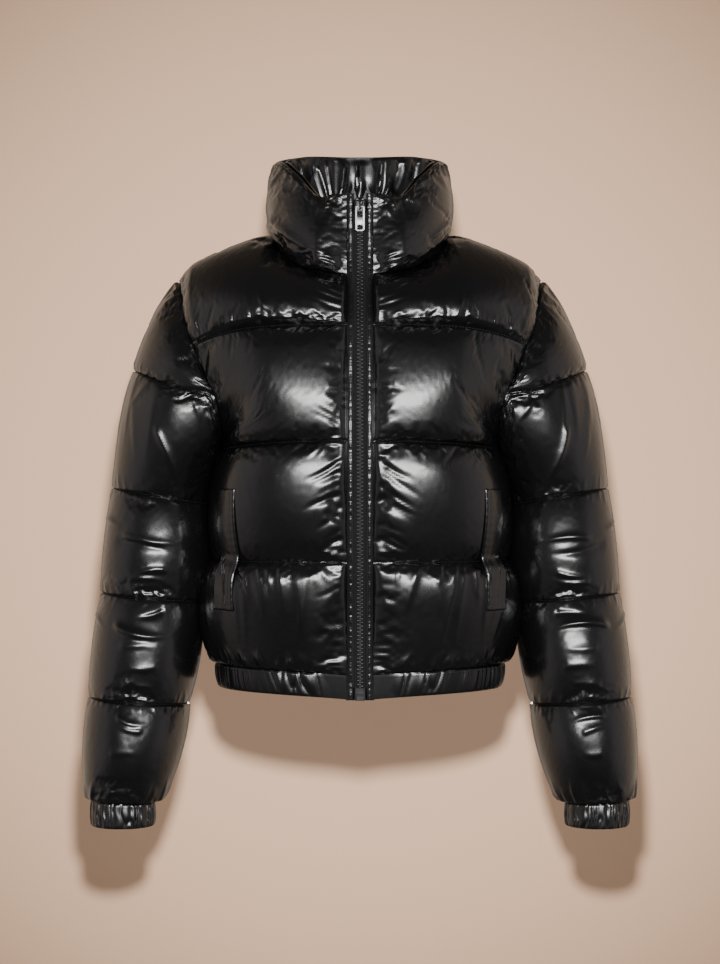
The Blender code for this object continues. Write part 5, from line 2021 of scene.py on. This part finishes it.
# ---- Hard pieces ----
def add_block(name: str, size: Triple, place: Triple) -> bpy.types.Object:
    """Start a box at its size and place, selected on its own.

    Args:
        name: The piece's name.
        size: Its width, depth and height.
        place: Its centre.

    Returns:
        The box.
    """
    select_only()
    bpy.ops.mesh.primitive_cube_add(size=1, location=[c * MM for c in place])
    piece = bpy.context.object
    piece.name = name
    piece.scale = [s * MM for s in size]
    bpy.ops.object.transform_apply(location=True, rotation=True, scale=True)
    return piece


def pick(piece: bpy.types.Object, kind: str, test: Callable[[Vector, Vector], bool]) -> None:
    """Go into edit mode with only some faces or edges selected.

    Args:
        piece: The piece to work on.
        kind: FACE or EDGE.
        test: Says of each one's middle, in millimetres, and direction whether it is wanted.
    """
    select_only(piece)
    bpy.ops.object.mode_set(mode="EDIT")
    bpy.ops.mesh.select_mode(type=kind)
    bpy.ops.mesh.select_all(action="DESELECT")
    work, of_faces = bmesh.from_edit_mesh(piece.data), kind == "FACE"
    for item in work.faces if of_faces else work.edges:
        direction = item.normal if of_faces else (item.verts[1].co - item.verts[0].co).normalized()
        middle = sum((v.co for v in item.verts), Vector()) / len(item.verts) / MM
        item.select_set(bool(test(middle, direction)))
    bmesh.update_edit_mesh(piece.data)


def bevel(width: float, segments: int = 2) -> None:
    """Round the selected edges and leave edit mode."""
    bpy.ops.mesh.bevel(offset=width * MM, segments=segments, affect="EDGES")
    bpy.ops.object.mode_set(mode="OBJECT")


def grow(step: Triple, scale: Triple) -> None:
    """Extrude the selected face by a step, in millimetres, and scale its new end."""
    bpy.ops.mesh.extrude_region_move(TRANSFORM_OT_translate={"value": [s * MM for s in step]})
    bpy.ops.transform.resize(value=scale)


def merge(piece: bpy.types.Object, others: list[bpy.types.Object], operation: str = "UNION") -> None:
    """Join other pieces to a piece, or cut them from it.

    Args:
        piece: The piece that is changed.
        others: The pieces that are used up.
        operation: UNION or DIFFERENCE.
    """
    for other in others:
        cut = piece.modifiers.new("shape", "BOOLEAN")
        cut.operation = operation
        cut.object = other
        bpy.context.view_layer.objects.active = piece
        bpy.ops.object.modifier_apply(modifier=cut.name)
        bpy.data.objects.remove(other)


def finish_piece(piece: bpy.types.Object, finish: Finish, body: str, softness: float, *nodes: str) -> None:
    """Round a hard piece's edges, give it its finish and hand it to a body.

    Args:
        piece: The piece.
        finish: What it is made of.
        body: The body that it moves with.
        softness: Radius of its edges.
        *nodes: The solids that it stands for.
    """
    select_only(piece)
    edges = piece.modifiers.new("soft edges", "BEVEL")
    edges.width, edges.segments, edges.limit_method = softness * MM, 2, "ANGLE"
    bpy.ops.object.modifier_apply(modifier=edges.name)
    bpy.ops.object.shade_smooth_by_angle(angle=math.radians(38))
    piece.data.materials.clear()
    piece.data.materials.append(finish.material())
    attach(piece, body)
    if nodes:
        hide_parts(*nodes)


@dataclass
class ZipTeeth:
    """Moulded teeth on both tapes, meshed below the slider."""

    cut: ZipCut
    pitch: float = 4.0
    low: float = -476.0
    high: float = 25.0
    size: Triple = (2.4, 2.5, 1.9)
    inner: float = 1.35
    lift: float = -1.75
    neck_and_head: tuple[tuple[float, Triple], ...] = (
        (0.5, (1.0, 0.8, 0.55)),
        (0.9, (1.0, 0.78, 1.75)),
        (1.0, (1.0, 0.6, 0.7)),
    )

    def tooth(self) -> tuple[Array, list[list[int]]]:
        """Model one left-hand tooth: a square foot on the tape, a neck and a rounded head.

        Returns:
            Its points in millimetres and its faces.
        """
        piece = add_block("tooth", self.size, (self.inner + self.size[0] / 2, 0.0, 0.0))
        pick(piece, "FACE", lambda _, way: way.x < -0.9)
        for step, scale in self.neck_and_head:
            grow((-step, 0, 0), scale)
        bpy.ops.object.mode_set(mode="OBJECT")
        pick(piece, "EDGE", lambda middle, _: middle.x > 2.0 and middle.y < -0.8)
        bevel(0.4, 1)
        shape = np.array([v.co for v in piece.data.vertices]) / MM
        faces = [list(face.vertices) for face in piece.data.polygons]
        bpy.data.objects.remove(piece)
        return shape, faces

    def build(self) -> None:
        """Set the teeth along both tapes."""
        shape, faces = self.tooth()
        for side in Side:
            right = side is Side.RIGHT
            heights = np.arange(self.low + (self.pitch / 2 if right else 0.0), self.high, self.pitch)
            middle, normal = self.cut.middle(heights, self.lift)
            vertices, all_faces = [], []
            for centre, out in zip(middle, normal):
                start = len(vertices) * len(shape)
                along = np.cross(out, (1.0, 0.0, 0.0))
                along = along * np.sign(along[2])
                local = shape[:, :1] * (1, 0, 0) - shape[:, 1:2] * out + shape[:, 2:3] * along
                vertices.append((centre + local) * side.flip)
                all_faces.extend([start + v for v in (face[::-1] if right else face)] for face in faces)
            add_fittings(f"zip_teeth_{side.label}", np.concatenate(vertices), all_faces, Finish.TEETH)


@dataclass
class ZipHardware:
    """The slider with its bail, the pull tab that hinges on it, and the retainer box with its pin."""

    cut: ZipCut
    slider_height: float = 32.5
    slider_size: Triple = (9.6, 2.0, 12.0)
    pull_size: Triple = (10.2, 1.4, 27.0)
    slot_size: Triple = (6.2, 4.0, 10.6)
    window_size: Triple = (6.0, 4.0, 4.8)
    box_size: Triple = (11.0, 5.0, 13.0)
    stop_size: Triple = (3.0, 2.6, 3.4)
    stop_height: float = 39.8

    def face(self) -> float:
        """Depth of the slider's front face."""
        return -(self.cut.depth(self.slider_height) + 3.2)

    def build_slider(self) -> None:
        """Model the slider: a tapered front plate with a waist, its back plate, the post between and the bail."""
        (width, thick, height), z, face = self.slider_size, self.slider_height, self.face()
        plate = add_block("zip_slider_body", self.slider_size, (0.0, face + thick / 2, z))
        pick(plate, "FACE", lambda _, way: way.z < -0.9)
        bpy.ops.transform.resize(value=(0.72, 1.0, 1.0))
        bpy.ops.object.mode_set(mode="OBJECT")
        pick(plate, "EDGE", lambda _, way: abs(way.y) > 0.9)
        bevel(1.6, 4)
        pick(plate, "FACE", lambda _, way: way.y < -0.9)
        bpy.ops.mesh.inset(thickness=0.9 * MM)
        grow((0.0, -0.35, 0.0), (0.94, 1.0, 0.94))
        bpy.ops.object.mode_set(mode="OBJECT")
        back = add_block("back plate", (width - 0.6, 1.4, height), (0.0, face + 4.6, z))
        post = add_block("post", (1.6, 4.4, 4.6), (0.0, face + 2.6, z + 2.0))
        select_only()
        bpy.ops.mesh.primitive_torus_add(
            major_segments=32,
            minor_segments=10,
            major_radius=4.0 * MM,
            minor_radius=0.75 * MM,
            location=(0.0, (face + 0.2) * MM, z * MM),
            rotation=(0.0, math.radians(90), 0.0),
        )
        bail = bpy.context.object
        bail.scale = (1.0, 0.98, 1.15)
        bpy.ops.object.transform_apply(location=True, rotation=True, scale=True)
        merge(plate, [back, post, bail])
        finish_piece(plate, Finish.SLIDER, "jacket", 0.15, "zip_slider")

    def build_pull(self) -> None:
        """Model the pull: a rounded plate with a long slot for the bail and a small window at its foot."""
        y, top, length = self.face() - 1.75, self.slider_height - 0.4, self.pull_size[2]
        centre = top - length / 2
        plate = add_block("zip_pull_tab", self.pull_size, (0.0, y, centre))
        for radius, end in ((1.6, 1), (3.2, -1)):
            pick(plate, "EDGE", lambda middle, way, end=end: abs(way.y) > 0.9 and (middle.z - centre) * end > 0)
            bevel(radius, 5)
        slot = add_block("slot", self.slot_size, (0.0, y, top - 1.4 - self.slot_size[2] / 2))
        window = add_block("window", self.window_size, (0.0, y, top - length + 4.1))
        for cutter in (slot, window):
            pick(cutter, "EDGE", lambda _, way: abs(way.y) > 0.9)
            bevel(0.7, 3)
        merge(plate, [slot, window], "DIFFERENCE")
        finish_piece(plate, Finish.PULL, "pull_tab", 0.32, "zip_pull")

    def build_box(self) -> None:
        """Model the retainer box at the zip's foot, with the pin's end below it."""
        width, depth, height = self.box_size
        y = 1.2 - self.cut.depth(-485.0)
        middle = self.cut.low + height / 2 - SEAM_GAP
        box = add_block("zip_retainer_box", self.box_size, (0.0, y, middle))
        pick(box, "EDGE", lambda _, way: abs(way.z) > 0.9)
        bevel(1.1, 3)
        pick(box, "FACE", lambda _, way: way.y < -0.9)
        bpy.ops.mesh.inset(thickness=1.3 * MM)
        grow((0.0, 0.6, 0.0), (0.96, 1.0, 0.98))
        bpy.ops.object.mode_set(mode="OBJECT")
        bar = add_block("bar", (width - 3.4, 1.0, 1.5), (0.0, y - depth / 2 + 0.3, middle + 1.0))
        merge(box, [bar])
        finish_piece(box, Finish.BOX, "jacket", 0.18, "zip_box")

    def build_stops(self) -> None:
        """Model the two top stops on the tapes above the slider."""
        y = 2.4 - self.cut.depth(40.0)
        for side in Side:
            stop = add_block(f"zip_stop_{side.label}", self.stop_size, (side.value * 2.9, y, self.stop_height))
            finish_piece(stop, Finish.TEETH, "jacket", 0.5)

    def build(self) -> None:
        """Model all the hardware."""
        self.build_slider()
        self.build_pull()
        self.build_box()
        self.build_stops()


# ---- The jacket ----
# The fronts pucker along the zip, at each quilting line, the hem, the armhole and the neck.
FRONT_GATHERS: Table = (
    (2.4, 2.75, 0.015, 0.015, 4, 0, 0.1, -0.9, 2.4, 0.5),
    (2.08, 2.4, 0.015, 0.015, 4, 0.08, 0.09, -0.9, 2.2, 0.5),
    (1.45, 1.9, 0.015, 0.015, 5, -0.15, 0.13, -2, 3.2, 0.4),
    (1.15, 1.45, 0.015, 0.015, 3, -0.13, 0.11, -1.6, 2.8, 0.4),
    (0.25, 0.85, 0.015, 0.015, 4, -0.08, 0.08, -0.6, 2.6, 0.5),
    (3.15, 3.85, 0.015, 0.015, 6, 0.1, 0.12, -1.3, 2.8, 0.35),
    (1.99, 1.99, 0.04, 0.62, 13, -0.12, 0.035, 1.2, 2.6),
    (1.99, 1.99, 0.3, 0.95, 16, -0.07, 0.015, 0.7, 2.4),
    (2.01, 2.01, 0.05, 0.95, 24, 0.07, 0.015, 0.7, 2.4),
    (3.01, 3.01, 0.04, 0.95, 34, 0.07, 0, 0.8, 2),
    (3.01, 3.01, 0.04, 0.4, 7, 0.16, 0.03, 1.2, 3.4),
    (2.99, 2.99, 0.03, 0.95, 20, -0.05, 0, 0.4, 2.4),
    (0.99, 0.99, 0.05, 0.75, 11, -0.22, -0.03, 1.3, 2.4),
    (0.97, 0.97, 0.1, 0.95, 13, -0.6, -0.02, 1, 5.5),
    (1.01, 1.01, 0.05, 0.95, 18, 0.06, 0, 0.4, 2.4),
    (0.01, 0.01, 0.04, 0.98, 24, 0.17, 0.02, 1.4, 3),
    (2.3, 3.9, 0.985, 0.985, 14, 0, -0.06, 0.8, 2.6),
    (3.99, 3.99, 0.03, 0.45, 14, -0.12, 0, 0.8, 2.6),
)
SLEEVE_CREASES: Table = (
    (1.43, 0.31, 1.86, 0.2, 3.2, 2.6, 3),
    (1.1, 0.25, 1.32, 0.19, 2.8, 1.8, 2),
    (1.1, 0.2, 1.5, 0.12, 4, 1.8, 3),
    (1.25, 0.4, 1.8, 0.33, 5, 1.2, 3),
    (2.42, 0.33, 2.45, 0.17, 3.4, 2.8, -4),
    (2.5, 0.36, 2.56, 0.18, 5, -2, 4),
    (2.72, 0.22, 2.8, 0.31, 3, 2.2, -3),
    (2.86, 0.31, 2.82, 0.21, 3, 2, 2),
    (3.1, 0.2, 3.18, 0.29, 3.4, -1.8, 2),
    (3.3, 0.34, 3.31, 0.16, 4, 3.2, -6),
    (3.48, 0.3, 3.46, 0.2, 4, 1.2, 2),
    (3.64, 0.2, 3.66, 0.29, 4, 1.2, 2),
    (3.82, 0.3, 3.8, 0.2, 3.4, 1.3, -2),
    (4.14, 0.3, 4.2, 0.21, 3.4, 1.9, -3),
    (4.27, 0.21, 4.23, 0.3, 3.4, 1.5, 2),
    (4.5, 0.29, 4.48, 0.22, 4, 0.9, 2),
    (2.3, 0.45, 2.36, 0.36, 3, 2, 2),
    (3.2, 0.47, 3.32, 0.36, 3, 2, 2),
)


@dataclass
class PufferJacket:
    """The whole jacket, sewn together from its cut pieces."""

    body: BodyCut = field(default_factory=BodyCut)
    sleeve: SleeveCut = field(default_factory=SleeveCut)
    collar: CollarCut = field(default_factory=CollarCut)
    zip: ZipCut = field(default_factory=ZipCut)
    channel_rows: int = 32
    columns: int = 61
    sleeve_columns: int = 120
    collar_size: tuple[int, int] = (40, 81)
    stitch_lift: float = 0.25

    def back_folds(self) -> tuple[Gathers, ...]:
        """Where the back puckers: above and below its quilting lines."""
        above = [Gathers(k + 0.01, k + 0.01, -0.97, 0.97, 52, 0.09, 0.0, 0.9, 2.8) for k in range(4)]
        below = [Gathers(k - 0.01, k - 0.01, -0.97, 0.97, 46, -0.1, 0.0, 0.9, 3.0) for k in range(1, 4)]
        return (*above, *below)

    def sleeve_folds(self) -> tuple[Gathers, ...]:
        """Where a sleeve puckers: above and below its quilting lines, at the cuff and over the elbow's outer side."""
        below = [Gathers(k + 0.01, k + 0.01, 0.0, 1.0, 30, 0.1, 0.0, 0.7, 2.6) for k in range(1, 5)]
        above = [Gathers(k - 0.01, k - 0.01, 0.0, 1.0, 26, -0.12, 0.01, 0.8, 2.8) for k in range(1, 5)]
        cuff = Gathers(4.99, 4.99, 0.0, 1.0, 22, -0.2, 0.0, 1.4, 3.4)
        return (*below, *above, cuff, Gathers(1.02, 1.02, 0.3, 0.7, 9, 0.5, -0.02, 1.1, 5.0))

    def sleeve_creases(self) -> tuple[Fold, ...]:
        """The larger creases of a sleeve: across elbow and forearm, and slanting down from the armhole."""
        in_front = [Fold(*row) for row in SLEEVE_CREASES]
        return (*in_front, *(fold.behind() for fold in in_front))

    def collar_folds(self) -> tuple[Gathers, ...]:
        """Where the collar puckers, above its neck seam and below its top edge.

        Returns:
            The runs of gathers.
        """
        runs = [
            Gathers(0.01, 0.01, -1.0, 1.0, 54, 0.1, 0.0, 0.7, 2.8),
            Gathers(0.98, 0.98, -1.0, 1.0, 60, -0.12, 0.0, 0.9, 2.4),
        ]
        for side in (1, -1):
            runs.append(Gathers(0.97, 0.97, side * 0.13, side * 0.48, 8, -0.3, side * 0.07, 1.8, 3.4))
            runs.append(Gathers(0.03, 0.2, side * 0.03, side * 0.03, 4, 0.08, side * 0.08, 1.8, 2.6))
            runs.append(Gathers(0.82, 0.95, side * 0.04, side * 0.09, 3, -0.2, side * 0.03, 1.6, 2.6))
            runs.append(Gathers(0.2, 0.4, side * 0.45, side * 0.36, 3, -0.14, side * -0.2, 2.4, 4.5))
        return tuple(runs)

    def build_shell(self) -> None:
        """Make the padded pieces."""
        self.front = body_grid(self.body, Facing.FRONT, self.channel_rows, self.columns)
        self.back = body_grid(self.body, Facing.BACK, self.channel_rows, self.columns)
        arm = self.sleeve.grid(self.body, self.channel_rows, self.sleeve_columns)
        self.arms = {Side.LEFT: arm, Side.RIGHT: arm.mirrored()}
        self.neck = both_halves(self.collar.grid(self.body, *self.collar_size))
        gathers = tuple(Gathers(*row) for row in FRONT_GATHERS)
        fronts = {Side.LEFT: self.front, Side.RIGHT: self.front.mirrored()}
        self.fronts = {
            side: QuiltedPiece(f"front_{side.label}_shell", f"front_{side.label}", grid, gathers, seed=seed)
            for seed, (side, grid) in enumerate(fronts.items(), 1)
        }
        puckers, creases = self.sleeve_folds(), self.sleeve_creases()
        blow_up([
            *self.fronts.values(),
            QuiltedPiece("back_shell", "back", both_halves(self.back), self.back_folds(), seed=3),
            *(
                QuiltedPiece(f"sleeve_{side.label}_shell", f"sleeve_{side.label}", grid, puckers, creases, seed=seed)
                for seed, (side, grid) in enumerate(self.arms.items(), 4)
            ),
            QuiltedPiece("collar_shell", "collar_outer", self.neck, self.collar_folds(), seed=6),
        ])

    def sew_line(self, stitching: Stitching, grid: Grid, line: int) -> None:
        """Sew stitches along one quilting line of a grid.

        Args:
            stitching: Where the stitches go.
            grid: The piece.
            line: The quilting line's number.
        """
        row = int(np.argmin(np.abs(grid.level[:, 0] - line)))
        place, normal = grid.base[row] + self.stitch_lift * grid.normal[row], grid.normal[row]
        if grid.ring:
            place, normal = closed(place), closed(normal)
        stitching.along(place, normal)

    def sew_lines(self) -> None:
        """Stitch the quilting lines of the body and the sleeves."""
        body = Stitching("stitching_body")
        for grid in (self.front, self.front.mirrored(), both_halves(self.back)):
            for line in (1, 2, 3):
                self.sew_line(body, grid, line)
        body.build()
        for side, grid in self.arms.items():
            sleeve = Stitching(f"stitching_sleeve_{side.label}")
            for line in (1, 2, 3, 4):
                self.sew_line(sleeve, grid, line)
            sleeve.build()

    def build_trim(self) -> None:
        """Make the hem band, cuffs, collar facing, pocket welts and the zip's borders and tapes."""
        stitching = Stitching("stitching_trim", length=2.4, gap=0.7, thickness=0.55)
        outside, outward = HemBand().build(self.front, self.back)
        stitching.along(outside[2], outward[2])
        for side in Side:
            outside, outward = Cuff(side=side).build()
            stitching.along(closed(outside[1]), closed(outward[1]))
        CollarFacing().build(self.neck)
        for side in Side:
            PocketWelt(side).build(self.body, self.fronts[side], stitching)
            ZipBorder(side, self.zip).build(stitching)
            ZipTape(side, self.zip).build()
        stitching.build()

    def build(self) -> None:
        """Make every piece, in the order of sewing."""
        hardware = (ZipTeeth(self.zip).build, ZipHardware(self.zip).build)
        for step in (self.build_shell, self.sew_lines, self.build_trim, *hardware):
            before = set(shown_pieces())
            step()
            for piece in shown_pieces():
                if piece not in before:
                    LOG.info("%s: %d faces", piece.name, len(piece.data.polygons))


def main() -> None:
    """Set up the studio and build the jacket."""
    logging.basicConfig(level=logging.INFO, format="%(message)s")
    Studio().build()
    PufferJacket().build()


if __name__ == "__main__":
    main()
